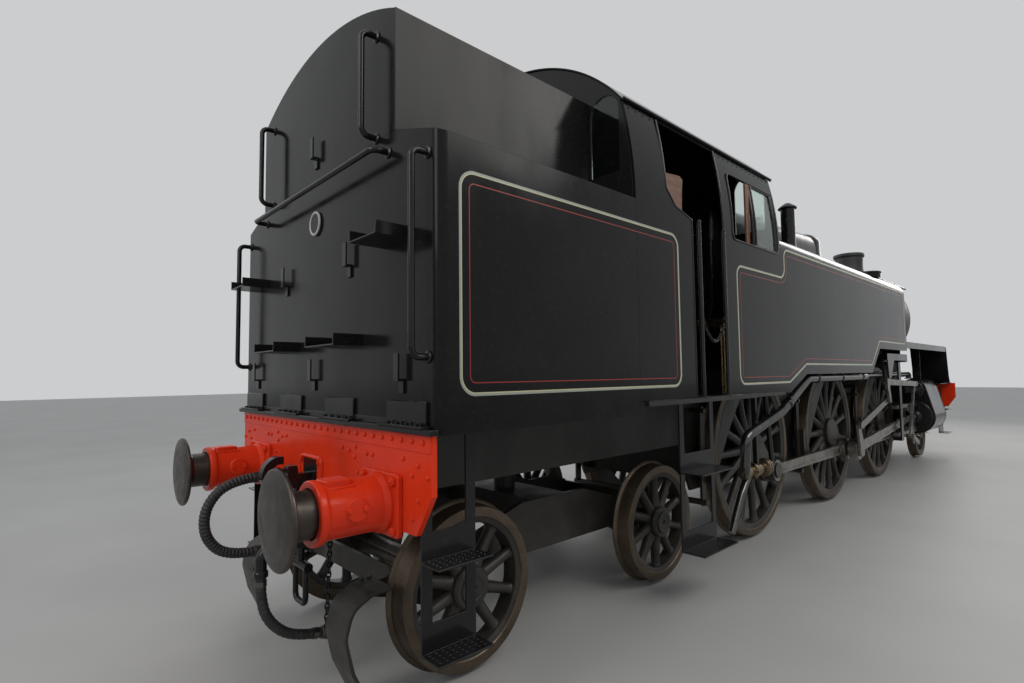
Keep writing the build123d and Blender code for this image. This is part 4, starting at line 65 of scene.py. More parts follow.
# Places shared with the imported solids
FLANGE = 0.028
BEAM_X = 6.289
BUNKER_REAR = -6.274
CAB_REAR, CAB_FRONT = -4.716, -2.390
BODY_HALF = 1.335
WAIST = 2.841
GUTTER_Y, GUTTER_Z = 1.250, 3.563
FLOOR_TOP = 1.518
DOOR_REAR, DOOR_FRONT = -4.004, -3.504
DOOR_REAR_HIGH = -4.339
DOOR_STEP_Z, DOOR_TOP = 2.888, 3.508
TANK_FRONT, TANK_CROWN = 2.290, 3.016
BOILER_Z = 2.708
BARREL_REAR, BARREL_KNEE, BARREL_FRONT = 0.116, 2.500, 3.850
BARREL_REAR_R, BARREL_FRONT_R = 0.850, 0.778
SMOKEBOX_R, SMOKEBOX_FRONT = 0.830, 5.230
CHIMNEY_X, CHIMNEY_TOP = 4.560, 4.003
DOME_X, DOME_TOP = 1.900, 3.958
BUFFER_Y, BUFFER_Z = 0.870, 1.082
DRIVERS = {"driver_1": 2.744, "driver_2": 0.407, "driver_3": -1.930}
CARRIERS = {"pony_axle": 5.538, "bogie_axle_front": -3.708, "bogie_axle_rear": -5.689}
DRIVER_Z, CARRIER_Z = 0.8916, 0.485
BOGIE_REAR = -6.0695     # just behind the ends of the trailing bogie's frame plates
CRANK = 0.3556
CRANK_ANGLE = {1: 49.3, -1: -40.7}
WHEEL_BACK, WHEEL_FACE = 0.680, 0.820
CYL_REAR, CYL_FRONT = 4.080, 5.000
CONN_Y = 1.030
VALVE_Z = 1.3616
PIPE_Y, PIPE_Z = 0.330, 1.075          # brake standpipe
PLUG_Z = 0.6163
HEAT_Y = -0.250                        # heating pipe


def colour_setting(name, words, default):
    """Declare a colour of the looks."""
    return FloatVectorProperty(name=name, description=words, default=default, min=0.0, max=1.0,
                               subtype="COLOR")


def length_setting(name, words, default, low, high):
    """Declare a length of the looks."""
    return FloatProperty(name=name, description=words, default=default, min=low, max=high, unit="LENGTH")


class EngineLooks(bpy.types.PropertyGroup):
    """Colours and small sizes that a user would change."""

    paint: colour_setting("Body paint", "Gloss black of the body", (0.0075, 0.0075, 0.008))
    beam: colour_setting("Buffer beam paint", "Red of the beams and buffer stocks", (0.70, 0.038, 0.009))
    line_pale: colour_setting("Outer line", "Pale grey of the lining's outer line", (0.29, 0.315, 0.26))
    line_cream: colour_setting("Middle line", "Cream edge of the lining's outer line", (0.50, 0.46, 0.28))
    line_red: colour_setting("Inner line", "Red of the lining's inner line", (0.26, 0.016, 0.013))
    steel: colour_setting("Motion steel", "Bare steel of rods and pipes", (0.34, 0.33, 0.31))
    line_width: length_setting("Outer line width", "Width of the pale line", 0.0115, 0.002, 0.05)
    line_gap: length_setting("Line gap", "Black left between the cream and the red line", 0.043, 0.01, 0.1)
    rivet: length_setting("Rivet radius", "Radius of a rivet head on the beams", 0.013, 0.004, 0.03)
    sides: IntProperty(
        name="Sides of a round", description="Faces round a large turned shape", default=128, min=32, max=256)


def looks():
    """Give the scene's colours and sizes."""
    return bpy.context.scene.engine_looks


def adjust(thing, **settings):
    """Set several properties of one thing."""
    for key, value in settings.items():
        setattr(thing, key, value)
    return thing


def add(name, data):
    """Put a new object with its data into the scene."""
    made = bpy.data.objects.new(name, data)
    bpy.context.scene.collection.objects.link(made)
    return made


# Surfaces: each gives its points and groups of faces that have the same number of corners

def faced(points, groups):
    """Turn every face over if the closed skin's volume, summed as a·(b×c) over fans, is negative."""
    total = 0.0
    for group in groups:
        corners = points[group]
        for k in range(1, group.shape[1] - 1):
            cross = np.cross(corners[:, k], corners[:, k + 1])
            total += np.einsum("ij,ij->", corners[:, 0], cross)
    if total < 0:
        groups = [group[:, ::-1] for group in groups]
    return points, groups


def shell(rings, loop=False):
    """Skin a stack of rings: point k of a ring joins point k of the next, ends closed flat.

    With loop the last ring joins the first, which closes the skin into a ring.
    """
    rings = np.asarray(rings, float)
    count, around = rings.shape[:2]
    index = np.arange(count * around).reshape(count, around)
    low = index if loop else index[:-1]
    high = np.roll(index, -1, 0) if loop else index[1:]
    quads = np.stack([low, np.roll(low, -1, 1), np.roll(high, -1, 1), high], -1).reshape(-1, 4)
    groups = [quads] if loop else [quads, index[:1, ::-1], index[-1:]]
    centre = rings.reshape(-1, 3).mean(0)
    points, groups = faced(rings.reshape(-1, 3) - centre, groups)
    return points + centre, groups


def unit(vector):
    """Scale a vector to length one."""
    vector = np.asarray(vector, float)
    return vector / np.linalg.norm(vector)


def across(axis):
    """Give two unit vectors square to an axis and to each other."""
    axis = unit(axis)
    other = (0, 0, 1) if abs(axis[2]) < 0.9 else (1, 0, 0)
    side = unit(np.cross(other, axis))
    return side, np.cross(axis, side)


def bent(corners, bend, steps=6):
    """Follow straight runs joined by arcs tangent to both; an arc shrinks where its run is short."""
    corners = [np.asarray(corner, float) for corner in corners]
    path = [corners[0][None]]
    for before, corner, after in zip(corners, corners[1:], corners[2:]):
        back, on = before - corner, after - corner
        short = min(np.linalg.norm(back), np.linalg.norm(on))
        back, on = unit(back), unit(on)
        half = acos(np.clip(back @ on, -1, 1)) / 2
        if half > pi / 2 - 0.01:
            path.append(corner[None])
            continue
        reach = min(bend / tan(half), 0.48 * short)
        radius = reach * tan(half)
        centre = corner + unit(back + on) * radius / sin(half)
        first, last = corner + back * reach - centre, corner + on * reach - centre
        turn = pi - 2 * half
        share = np.linspace(0, 1, steps + 1)[:, None]
        path.append(centre + (np.sin((1 - share) * turn) * first + np.sin(share * turn) * last) / sin(turn))
    path.append(corners[-1][None])
    return np.concatenate(path)


def rounded(corners, radius, steps=5):
    """Round every corner of a closed outline."""
    corners = [np.asarray(corner, float) for corner in corners]
    middle = (corners[-1] + corners[0]) / 2
    return bent([middle, *corners, middle], radius, steps)[:-1]


def oblong(first, second, radius, steps=5):
    """Give an oblong outline with rounded corners from its limits along two axes."""
    (a0, a1), (b0, b1) = first, second
    return rounded([(a0, b0), (a1, b0), (a1, b1), (a0, b1)], radius, steps)


def inset(outline, by):
    """Move each side of a closed outline inwards: each corner goes along its two normals' sum."""
    ahead = np.roll(outline, -1, 0) - outline
    ahead /= np.maximum(np.linalg.norm(ahead, axis=1, keepdims=True), 1e-9)
    area = np.sum(outline[:, 0] * np.roll(outline[:, 1], -1) - np.roll(outline[:, 0], -1) * outline[:, 1])
    normal = np.stack([-ahead[:, 1], ahead[:, 0]], 1) * np.sign(area)
    before = np.roll(normal, 1, 0)
    share = 1 + np.sum(normal * before, axis=1, keepdims=True)
    return outline + by * (normal + before) / np.maximum(share, 0.3)


def circle(count, radius=1.0, centre=(0, 0, 0), start=0.0):
    """Give points evenly round a circle square to X."""
    angle = np.linspace(0, 2 * pi, count, endpoint=False) + start
    return np.stack([np.zeros(count), np.cos(angle), np.sin(angle)], 1) * radius + centre


PLANES = {"XZ": (0, 2, 1), "YZ": (1, 2, 0), "XY": (0, 1, 2)}
LEAST_R = 0.0004               # keeps the ring at a turned shape's tip open


def lay(outline, height, plane):
    """Put a flat outline into space: its two coordinates on the plane's axes, height on the third."""
    outline = np.asarray(outline, float)
    made = np.empty((len(outline), 3))
    first, second, third = PLANES[plane]
    made[:, first], made[:, second], made[:, third] = outline[:, 0], outline[:, 1], height
    return made


def plate(outline, low, high, plane, chamfer=0.002):
    """Extrude an outline from low to high, its rims cut back by the chamfer."""
    outline = np.asarray(outline, float)
    low, high = min(low, high), max(low, high)
    chamfer = min(chamfer, 0.45 * (high - low))
    small = inset(outline, chamfer)
    return shell([lay(small, low, plane), lay(outline, low + chamfer, plane),
                  lay(outline, high - chamfer, plane), lay(small, high, plane)])


def box(x, y, z, chamfer=0.002):
    """Make a block with cut edges from its limits along each axis."""
    return plate(oblong(sorted(x), sorted(y), chamfer, 1), *z, "XY", chamfer)


def turned(profile, origin, axis, sides=None, loop=False, bend=0.0, steps=3):
    """Turn a profile of radius and distance about an axis, its corners rounded first by the bend.

    A point is origin + along·axis + radius·(cos a·side + sin a·up).
    """
    profile = bent(profile, bend, steps) if bend else np.asarray(profile, float)
    side, up = across(axis)
    angle = np.linspace(0, 2 * pi, sides or looks().sides, endpoint=False)
    ring = np.cos(angle)[:, None] * side + np.sin(angle)[:, None] * up
    radius = np.maximum(profile[:, 0], LEAST_R)[:, None, None]
    along = profile[:, 1][:, None, None] * unit(axis)
    return shell(np.asarray(origin, float) + along + radius * ring[None], loop)


def tube(path, radius, sides=20):
    """Carry a circle along a path, turned at each step only as far as the path bends."""
    path = np.asarray(path, float)
    heading = np.gradient(path, axis=0)
    heading /= np.linalg.norm(heading, axis=1, keepdims=True)
    radius = np.broadcast_to(np.asarray(radius, float), len(path))
    side = across(heading[0])[0]
    angle = np.linspace(0, 2 * pi, sides, endpoint=False)
    rings = []
    for point, ahead, reach in zip(path, heading, radius):
        side = unit(side - (side @ ahead) * ahead)
        up = np.cross(ahead, side)
        rings.append(point + reach * (np.cos(angle)[:, None] * side + np.sin(angle)[:, None] * up))
    return shell(rings)


def bar(start, end, radius, sides=20):
    """Make a round bar with softly cut ends."""
    start, end = np.asarray(start, float), np.asarray(end, float)
    run = np.linalg.norm(end - start)
    cut = min(0.002, radius / 4)
    profile = ((0, 0), (radius - cut, 0), (radius, cut), (radius, run - cut), (radius - cut, run), (0, run))
    return turned(profile, start, end - start, sides)


def copies(pattern, places, facings):
    """Repeat a small closed shape that points along Z: place + x·side + y·up + z·facing."""
    points, groups = pattern
    places = np.asarray(places, float)
    facings = np.broadcast_to(np.asarray(facings, float), places.shape)
    frames = np.array([(*across(facing), unit(facing)) for facing in facings])
    made = places[:, None] + np.einsum("kj,nji->nki", points, frames)
    shift = (np.arange(len(places)) * len(points))[:, None, None]
    repeated = [(group[None] + shift).reshape(-1, group.shape[1]) for group in groups]
    return made.reshape(-1, 3), repeated


# Profiles of heads, in shares of their radius and height
DOME = ((0, -0.3), (1, -0.3), (1, 0.15), (0.82, 0.66), (0.42, 0.95), (0, 1))
HEXAGON = ((0, -0.2), (1, -0.2), (1, 0.82), (0.86, 1), (0, 1))


def rivets(places, facing, radius, height=None, profile=DOME, sides=10):
    """Set heads turned from a profile, domes of ten sides where nothing else is asked for."""
    height = height or radius * 0.62
    head = turned(np.multiply(profile, (radius, height)), (0, 0, 0), UP, sides)
    return copies(head, places, facing)


def bolts(places, facing, radius, height=None):
    """Set hexagonal heads with a cut rim."""
    return rivets(places, facing, radius, height or radius * 0.7, HEXAGON, 6)


def belt(ends, radii, steps):
    """Give the outline round two circles and their outer tangents."""
    (first, second), (big, small) = [np.asarray(end, float) for end in ends], radii
    gap = second - first
    lean = atan2(gap[1], gap[0])
    open_by = acos(np.clip((big - small) / np.linalg.norm(gap), -1, 1))
    around = np.linspace(lean + open_by, lean + 2 * pi - open_by, 2 * steps)
    beyond = np.linspace(lean - open_by, lean + open_by, steps)
    return np.concatenate([
        first + big * np.stack([np.cos(around), np.sin(around)], 1),
        second + small * np.stack([np.cos(beyond), np.sin(beyond)], 1)])


def chain(start, end, wire, reach, sag=0.0):
    """Hang a chain of oval links, each turned a quarter from the last, on a line that sags."""
    start, end = np.asarray(start, float), np.asarray(end, float)
    span = np.linalg.norm(end - start)
    count = max(int(span * (1 + 2.6 * (sag / span) ** 2) / (reach * 1.42)), 2)
    share = (np.arange(count) + 0.5) / count
    spots = start + (end - start) * share[:, None]
    spots[:, 2] -= 4 * sag * share * (1 - share)
    around = np.linspace(0, 2 * pi, 20, endpoint=False)[:, None]
    turn = np.linspace(0, 2 * pi, 6, endpoint=False)[:, None]
    links = []
    for number, (spot, way) in enumerate(zip(spots, np.gradient(spots, axis=0))):
        way = unit(way)
        other = across(way)[0 if number % 2 else 1]
        normal = np.cross(way, other)
        oval = spot + reach * np.cos(around) * way + reach * 0.62 * np.sin(around) * other
        links.append(shell([point + wire * (np.cos(turn) * unit(point - spot) + np.sin(turn) * normal)
                            for point in oval], loop=True))
    return links


# Pieces

SAME_POINT = 2e-6              # packed points closer than this are one
SAME_PLANE = radians(0.3)      # packed faces that meet at less than this are one
SHARP = 28.0                   # packed edges sharper than this are rounded


def settle(name, mesh, finishes, body, stands_for, angle):
    """Shade a mesh smooth up to an angle, and let it ride a body in place of the solids named."""
    for finish in finishes:
        mesh.materials.append(FINISHES[finish])
    mesh.shade_smooth()
    mesh.set_sharp_from_angle(angle=radians(angle))
    piece = add(name, mesh)
    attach(piece, body)
    if stands_for:
        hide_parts(*stands_for)
    return piece


def make(name, skins, finish, stands_for=(), body="engine", angle=32.0):
    """Join skins into one piece: points stacked, each face's corners moved up past earlier points.

    With several finishes a skin may come as (skin, number) where number picks the finish.
    """
    points, corners, sizes, marks, base = [], [], [], [], 0
    for item in skins:
        (own, groups), mark = item if isinstance(item[1], int) else (item, 0)
        points.append(own)
        for group in groups:
            corners.append((group + base).ravel())
            sizes.append(np.full(len(group), group.shape[1]))
            marks.append(np.full(len(group), mark))
        base += len(own)
    points, corners, sizes, marks = (np.concatenate(part) for part in (points, corners, sizes, marks))
    mesh = bpy.data.meshes.new(name)
    mesh.vertices.add(len(points))
    mesh.vertices.foreach_set("co", points.ravel().astype(np.float32))
    mesh.loops.add(len(corners))
    mesh.loops.foreach_set("vertex_index", corners.astype(np.int32))
    mesh.polygons.add(len(sizes))
    mesh.polygons.foreach_set("loop_start", (np.cumsum(sizes) - sizes).astype(np.int32))
    mesh.polygons.foreach_set("material_index", marks.astype(np.int32))
    mesh.update(calc_edges=True)
    mesh.validate()
    finishes = (finish,) if isinstance(finish, str) else finish
    return settle(name, mesh, finishes, body, stands_for, angle)


def trim_behind(skin, x):
    """Cut away what lies behind a plane across the engine, and close the cuts with flat faces."""
    whole = [*skin.verts, *skin.edges, *skin.faces]
    cut = bmesh.ops.bisect_plane(skin, geom=whole, plane_co=(x, 0, 0), plane_no=(-1, 0, 0), clear_outer=True)
    rims = [item for item in cut["geom_cut"] if isinstance(item, bmesh.types.BMEdge)]
    bmesh.ops.holes_fill(skin, edges=rims)
    bmesh.ops.recalc_face_normals(skin, faces=skin.faces)


def dress(node, finish, rounding):
    """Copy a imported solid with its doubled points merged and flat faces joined, and round its edges."""
    mesh = frame["nodes"][node].data.copy()
    skin = bmesh.new()
    skin.from_mesh(mesh)
    bmesh.ops.remove_doubles(skin, verts=skin.verts, dist=SAME_POINT)
    if node == "bogie_frame":
        trim_behind(skin, BOGIE_REAR)
    bmesh.ops.dissolve_limit(skin, angle_limit=SAME_PLANE, verts=skin.verts, edges=skin.edges)
    skin.to_mesh(mesh)
    skin.free()
    mesh.materials.clear()
    piece = settle(node + "_dressed", mesh, (finish,), BODY_OF[node], (node,), SHARP)
    if rounding > 0:
        adjust(piece.modifiers.new("edges", "BEVEL"), width=rounding, segments=2, limit_method="ANGLE",
               angle_limit=radians(SHARP))
        adjust(piece.modifiers.new("faces", "WEIGHTED_NORMAL"), keep_sharp=True)


# Finishes

def fill(tree, socket, value):
    """Link an input to an output, or set its value; a colour gets its fourth number."""
    if isinstance(value, bpy.types.NodeSocket):
        tree.links.new(value, socket)
    else:
        socket.default_value = (*value, 1.0) if socket.type == "RGBA" else value


def grow(tree, kind, inputs=(), **settings):
    """Add a node to a tree with its settings and inputs."""
    made = adjust(tree.nodes.new(kind), **settings)
    for key, value in dict(inputs).items():
        fill(tree, made.inputs[key], value)
    return made


class Finish:
    """A node graph for one finish, read in Object coordinates, which are the engine's own metres."""

    def __init__(self, name):
        self.material = FINISHES[name] = bpy.data.materials.new(name)
        self.material.use_nodes = True
        self.tree = self.material.node_tree
        self.place = self.node("ShaderNodeTexCoord").outputs["Object"]

    def node(self, kind, inputs=(), **settings):
        return grow(self.tree, kind, inputs, **settings)

    def noise(self, scale, detail=4.0, rough=0.55, stretch=None, warp=0.0):
        place = self.place
        if stretch:
            place = self.node("ShaderNodeMapping", {"Vector": place, "Scale": stretch}).outputs[0]
        inputs = {"Vector": place, "Scale": scale, "Detail": detail, "Roughness": rough, "Distortion": warp}
        return self.node("ShaderNodeTexNoise", inputs).outputs["Fac"]

    def between(self, value, low, high, out_low=0.0, out_high=1.0):
        inputs = {"Value": value, "From Min": low, "From Max": high, "To Min": out_low, "To Max": out_high}
        return self.node("ShaderNodeMapRange", inputs, clamp=True).outputs[0]

    def times(self, first, second):
        return self.node("ShaderNodeMath", {0: first, 1: second}, operation="MULTIPLY").outputs[0]

    def mix(self, share, first, second):
        return self.node("ShaderNodeMix", {0: share, 6: first, 7: second}, data_type="RGBA").outputs[2]

    def height(self):
        return self.node("ShaderNodeSeparateXYZ", {0: self.place}).outputs[2]

    def bump(self, value, strength, distance, under=None):
        inputs = {"Height": value, "Strength": strength, "Distance": distance}
        if under is not None:
            inputs["Normal"] = under
        return self.node("ShaderNodeBump", inputs).outputs[0]

    def set(self, **values):
        shader = self.tree.nodes["Principled BSDF"]
        for key, value in values.items():
            fill(self.tree, shader.inputs[key.replace("_", " ")], value)


FINISHES = {}
DUST = (0.085, 0.070, 0.055)
BLOOM = (0.055, 0.052, 0.048)
VARNISH, WORN_VARNISH = (0.17, 0.070, 0.032), (0.075, 0.030, 0.014)
GLASS = (0.80, 0.90, 0.86)
ALONG_X = (0.25, 3.0, 3.0)     # stretch of noise that runs in streaks along X


def painted(name, colour, stain, rough, dust=0.0, wave=0.0, specular=0.5, grain=0.15):
    """Paint on sheet: patches of stain, dust that thickens downwards, orange peel and a slow wave."""
    made = Finish(name)
    patch = made.between(made.noise(1.7, 7.0, 0.62, warp=0.4), 0.44, 0.74)
    speck = made.between(made.noise(46.0, 3.0, 0.6), 0.57, 0.72)
    colour = made.mix(made.times(patch, 0.55), colour, stain)
    colour = made.mix(made.times(speck, 0.10), colour, DUST)
    if dust:
        low = made.between(made.height(), 1.45, 0.15, 0.04, dust)
        cloud = made.between(made.noise(5.0, 8.0, 0.7), 0.35, 0.68)
        colour = made.mix(made.times(low, cloud), colour, DUST)
    smear = made.between(made.noise(3.2, 6.0, 0.65, stretch=(1.0, 1.0, 0.35)), 0.35, 0.72, *rough)
    relief = made.bump(made.noise(190.0, 2.0), grain, 0.0006)
    if wave:
        relief = made.bump(made.noise(1.35, 1.5, 0.4), 1.0, wave, relief)
    made.set(Base_Color=colour, Roughness=smear, Normal=relief, Specular_IOR_Level=specular)


def bare(name, colour, stain, rough, metal=1.0, streak=None, grain=0.2):
    """Bare or oiled metal: stained patches, fine streaks along the rolled direction, fine grain."""
    made = Finish(name)
    patch = made.between(made.noise(6.5, 8.0, 0.68, warp=0.6), 0.42, 0.68)
    fine = made.between(made.noise(34.0, 5.0, 0.7, stretch=streak), 0.40, 0.75)
    tint = made.mix(made.times(patch, 0.6), colour, stain)
    tint = made.mix(made.times(fine, 0.36), tint, stain)
    wear = made.between(made.noise(11.0, 6.0, 0.7), 0.35, 0.7, *rough)
    relief = made.bump(made.noise(260.0, 3.0, stretch=streak), grain, 0.0008)
    made.set(Base_Color=tint, Roughness=wear, Normal=relief, Metallic=metal)


def ribbed_rubber(name, colour):
    """Rubber with chalky bloom, cloudy and slightly pitted."""
    made = Finish(name)
    bloom = made.between(made.noise(14.0, 7.0, 0.7), 0.42, 0.72, 0.0, 0.5)
    rough = made.between(made.noise(22.0, 4.0), 0.3, 0.7, 0.42, 0.68)
    pits = made.bump(made.noise(420.0, 2.0), 0.25, 0.0006)
    made.set(Base_Color=made.mix(bloom, colour, BLOOM), Roughness=rough, Normal=pits)


def timber(name):
    """Varnished wood: rings stretched along the grain, with worn pale patches."""
    made = Finish(name)
    grain = made.noise(18.0, 8.0, 0.7, stretch=ALONG_X, warp=1.2)
    made.set(Base_Color=made.mix(made.between(grain, 0.35, 0.66), VARNISH, WORN_VARNISH),
             Roughness=made.between(grain, 0.3, 0.7, 0.30, 0.55), Normal=made.bump(grain, 0.2, 0.001))


def window_glass(name):
    """Slightly green sheet glass with a film of dirt."""
    made = Finish(name)
    film = made.between(made.noise(7.0, 6.0, 0.7), 0.4, 0.75, 0.02, 0.16)
    made.set(Base_Color=GLASS, Roughness=film, Transmission_Weight=1.0, IOR=1.45)


def make_finishes():
    """Make every finish once."""
    look = looks()
    black = look.paint
    painted("body_gloss_black", black, (0.013, 0.012, 0.011), (0.07, 0.20), wave=0.0045, specular=0.14)
    painted("bunker_plate_black", black, (0.015, 0.014, 0.012), (0.10, 0.26), wave=0.006, specular=0.14)
    painted("fitting_gloss_black", black, (0.015, 0.014, 0.013), (0.10, 0.28), specular=0.32)
    painted("frame_satin_black", (0.011, 0.0105, 0.0095), (0.022, 0.018, 0.014), (0.30, 0.55), dust=0.42,
            specular=0.35)
    painted("smokebox_matt_black", (0.012, 0.012, 0.012), (0.026, 0.025, 0.024), (0.42, 0.62))
    painted("beam_red", look.beam, (0.34, 0.015, 0.006), (0.14, 0.34), specular=0.2, grain=0.3)
    painted("lining_grey", look.line_pale, (0.22, 0.23, 0.19), (0.2, 0.35))
    painted("lining_cream", look.line_cream, (0.38, 0.34, 0.20), (0.2, 0.35))
    painted("lining_red", look.line_red, (0.18, 0.012, 0.010), (0.2, 0.35))
    painted("plate_silver", (0.42, 0.42, 0.40), (0.20, 0.19, 0.17), (0.25, 0.45))
    bare("motion_steel", look.steel, (0.10, 0.085, 0.065), (0.24, 0.46), streak=ALONG_X)
    bare("oiled_steel", (0.16, 0.15, 0.14), (0.035, 0.03, 0.025), (0.26, 0.5))
    bare("tyre_steel", (0.115, 0.088, 0.062), (0.04, 0.03, 0.022), (0.36, 0.6), metal=0.75)
    bare("buffer_steel", (0.085, 0.074, 0.064), (0.030, 0.025, 0.021), (0.32, 0.52), metal=0.85, grain=0.3)
    bare("pipe_bright", (0.115, 0.115, 0.115), (0.035, 0.032, 0.03), (0.10, 0.26), metal=0.9)
    bare("weathered_bronze", (0.25, 0.19, 0.12), (0.07, 0.05, 0.034), (0.24, 0.44))
    bare("brass", (0.62, 0.42, 0.19), (0.25, 0.155, 0.075), (0.22, 0.42))
    ribbed_rubber("hose_rubber", (0.012, 0.012, 0.012))
    timber("varnished_wood")
    window_glass("window_glass")


# Solids that keep their shape: finish, edge rounding and names
DRESSED = (
    ("frame_satin_black", 0, "main_frames"),
    ("frame_satin_black", 0.003, "axleboxes"),
    ("fitting_gloss_black", 0.006, "drawgear"),
    ("bunker_plate_black", 0.002, "bunker_tank coal_bunker"),
    ("body_gloss_black", 0.002, "cab_side_left cab_side_right"),
    ("fitting_gloss_black", 0.002, "cab_rear_plate"),
    ("body_gloss_black", 0.002, "cab_roof"),
    ("frame_satin_black", 0.002, "cab_floor"),
    ("fitting_gloss_black", 0.012, "firebox"),
    ("body_gloss_black", 0.002, "cab_front_plate"),
    ("smokebox_matt_black", 0.006, "smokebox_saddle"),
    ("body_gloss_black", 0.002, "side_tank_left side_tank_right"),
    ("fitting_gloss_black", 0.002, "tank_lid_left tank_lid_right running_plates front_platform"),
    ("motion_steel", 0.004, "slidebars"),
    ("fitting_gloss_black", 0.004, "motion_brackets"),
    ("motion_steel", 0.004, "crosshead_left crosshead_right"),
    ("motion_steel", 0.005, "connecting_rod_left connecting_rod_right"),
    ("motion_steel", 0.003, "valve_gear_left valve_gear_right"),
    ("motion_steel", 0.004, "coupling_rod_left coupling_rod_right"),
    ("frame_satin_black", 0.004, "pony_truck bogie_frame brake_gear ashpan"),
    ("fitting_gloss_black", 0.002, "footsteps bunker_fittings"),
    ("brass", 0.002, "footplate_controls"),
    ("beam_red", 0.002, "buffer_beams"),
)


def dress_solids():
    """Give the solids that keep their shape a smooth copy with rounded edges."""
    for finish, rounding, nodes in DRESSED:
        for node in nodes.split():
            dress(node, finish, rounding)
    for node, finish in (("cab_glass", "window_glass"), ("boiler_fittings", "fitting_gloss_black")):
        materials = frame["nodes"][node].data.materials
        materials.clear()
        materials.append(FINISHES[finish])


# Hoses at the rear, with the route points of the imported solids

VACUUM_ROUTE = (
    (-6.480, PIPE_Y, PIPE_Z), (-6.665, PIPE_Y, PIPE_Z), (-6.79935, PIPE_Y, 0.94065),
    (-6.79935, PIPE_Y, 0.75065), (-6.665, PIPE_Y, PLUG_Z), (-6.480, PIPE_Y, PLUG_Z),
)
HEAT_ROUTE = (
    (-6.665, HEAT_Y, 0.645), (-6.665, HEAT_Y, 0.500), (-6.5969, HEAT_Y, 0.36635),
    (-6.4755, HEAT_Y, 0.2782), (-6.3323, HEAT_Y, 0.2555),
)
VACUUM_R, HEAT_R = 0.031, 0.0275
RIB_PITCH, RIB_DEPTH = 0.0215, 0.0042
CUFF = 0.045                      # plain length at each end of the ribbed hose
WRAP_PITCH, WRAP_DEPTH = 0.030, 0.0009
COUPLER = ((0, 0), (0.034, 0), (0.036, 0.012), (0.034, 0.02), (0.039, 0.024), (0.041, 0.06),
           (0.05, 0.066), (0.05, 0.078), (0.03, 0.08), (0.026, 0.07), (0, 0.07))


def smooth_route(name, points):
    """Read the centre line of a third-order spline whose control points are the route's."""
    curve = bpy.data.curves.new(name, "CURVE")
    curve.dimensions = "3D"
    spline = curve.splines.new("NURBS")
    spline.points.add(len(points) - 1)
    for control, point in zip(spline.points, points):
        control.co = (*point, 1.0)
    adjust(spline, order_u=3, use_endpoint_u=True, resolution_u=40)
    holder = add(name, curve)
    bpy.context.view_layer.update()
    line = bpy.data.meshes.new_from_object(holder.evaluated_get(bpy.context.evaluated_depsgraph_get()))
    made = np.array([vertex.co for vertex in line.vertices], float)
    bpy.data.objects.remove(holder)
    bpy.data.meshes.remove(line)
    return made


def respaced(path, step):
    """Give points at equal steps along a path, and how far along it each lies."""
    run = np.concatenate([[0], np.cumsum(np.linalg.norm(np.diff(path, axis=0), axis=1))])
    count = max(int(round(run[-1] / step)), 8)
    along = np.linspace(0, run[-1], count + 1)
    return np.stack([np.interp(along, run, path[:, k]) for k in range(3)], 1), along


def make_hoses():
    """Sweep the brake hose with its ribs and the heating hose with its wrapped cover."""
    line, along = respaced(smooth_route("brake_route", VACUUM_ROUTE), RIB_PITCH / 8)
    rib = np.abs(np.cos(pi * along / RIB_PITCH)) ** 0.7
    plain = np.clip((np.minimum(along, along[-1] - along) - CUFF) / 0.01, 0, 1)
    brake = make("vacuum_hose_ribbed", [tube(line, VACUUM_R - RIB_DEPTH * plain * (1 - rib), 40)],
                 "hose_rubber", ("vacuum_hose",), angle=70)
    clips = [tube(line[near:near + 6], VACUUM_R + 0.0035, 40) for near in (8, -16)]
    clip = make("vacuum_hose_clips", clips, "oiled_steel")
    line, along = respaced(smooth_route("heat_route", HEAT_ROUTE), 0.006)
    wrap = WRAP_DEPTH * (np.sin(2 * pi * along / WRAP_PITCH) - 1)
    heat = make("steam_heat_hose_wrapped", [tube(line, HEAT_R + wrap, 36)],
                "hose_rubber", ("steam_heat_hose",), angle=70)
    last, ahead = line[-1], unit(line[-1] - line[-2])
    skins = [turned(COUPLER, last, ahead, 40, bend=0.003)]
    middle = last + ahead * 0.045
    skins += [bar(middle + (0, side * 0.03, 0), middle + (0, side * 0.062, 0.01), 0.011) for side in SIDES]
    skins += [tube(part, HEAT_R + 0.003, 36) for part in (line[3:9], line[-9:-3])]
    coupler = make("steam_heat_coupler", skins, "oiled_steel")


# Boiler, smokebox, chimney and dome

BOILER_AXIS = (0, 0, BOILER_Z)
BANDS = (0.40, 1.10, 1.80, 2.50, 3.17, 3.82)   # middle of each band along the barrel
BAND_HALF, BAND_PROUD, BAND_EDGE = 0.028, 0.003, 0.002
BAND = ((-BAND_HALF, 0), (BAND_EDGE - BAND_HALF, BAND_PROUD), (BAND_HALF - BAND_EDGE, BAND_PROUD),
        (BAND_HALF, 0))
KNEE_R = BARREL_FRONT_R + 0.014
HINGE_X, HINGE_Y = SMOKEBOX_FRONT + 0.058, 0.720
HINGE_HEIGHTS = (BOILER_Z - 0.230, BOILER_Z + 0.230)
SMOKEBOX_WALL = 0.036
DOME_R, DOME_RISE = 0.315, 0.180       # straight part's radius, height of the rounded top


def barrel_radius(x):
    """Give the barrel's outside radius: even taper to the knee, a slighter one beyond."""
    radii = (BARREL_REAR_R, KNEE_R, BARREL_FRONT_R)
    return float(np.interp(x, (BARREL_REAR, BARREL_KNEE, BARREL_FRONT), radii))


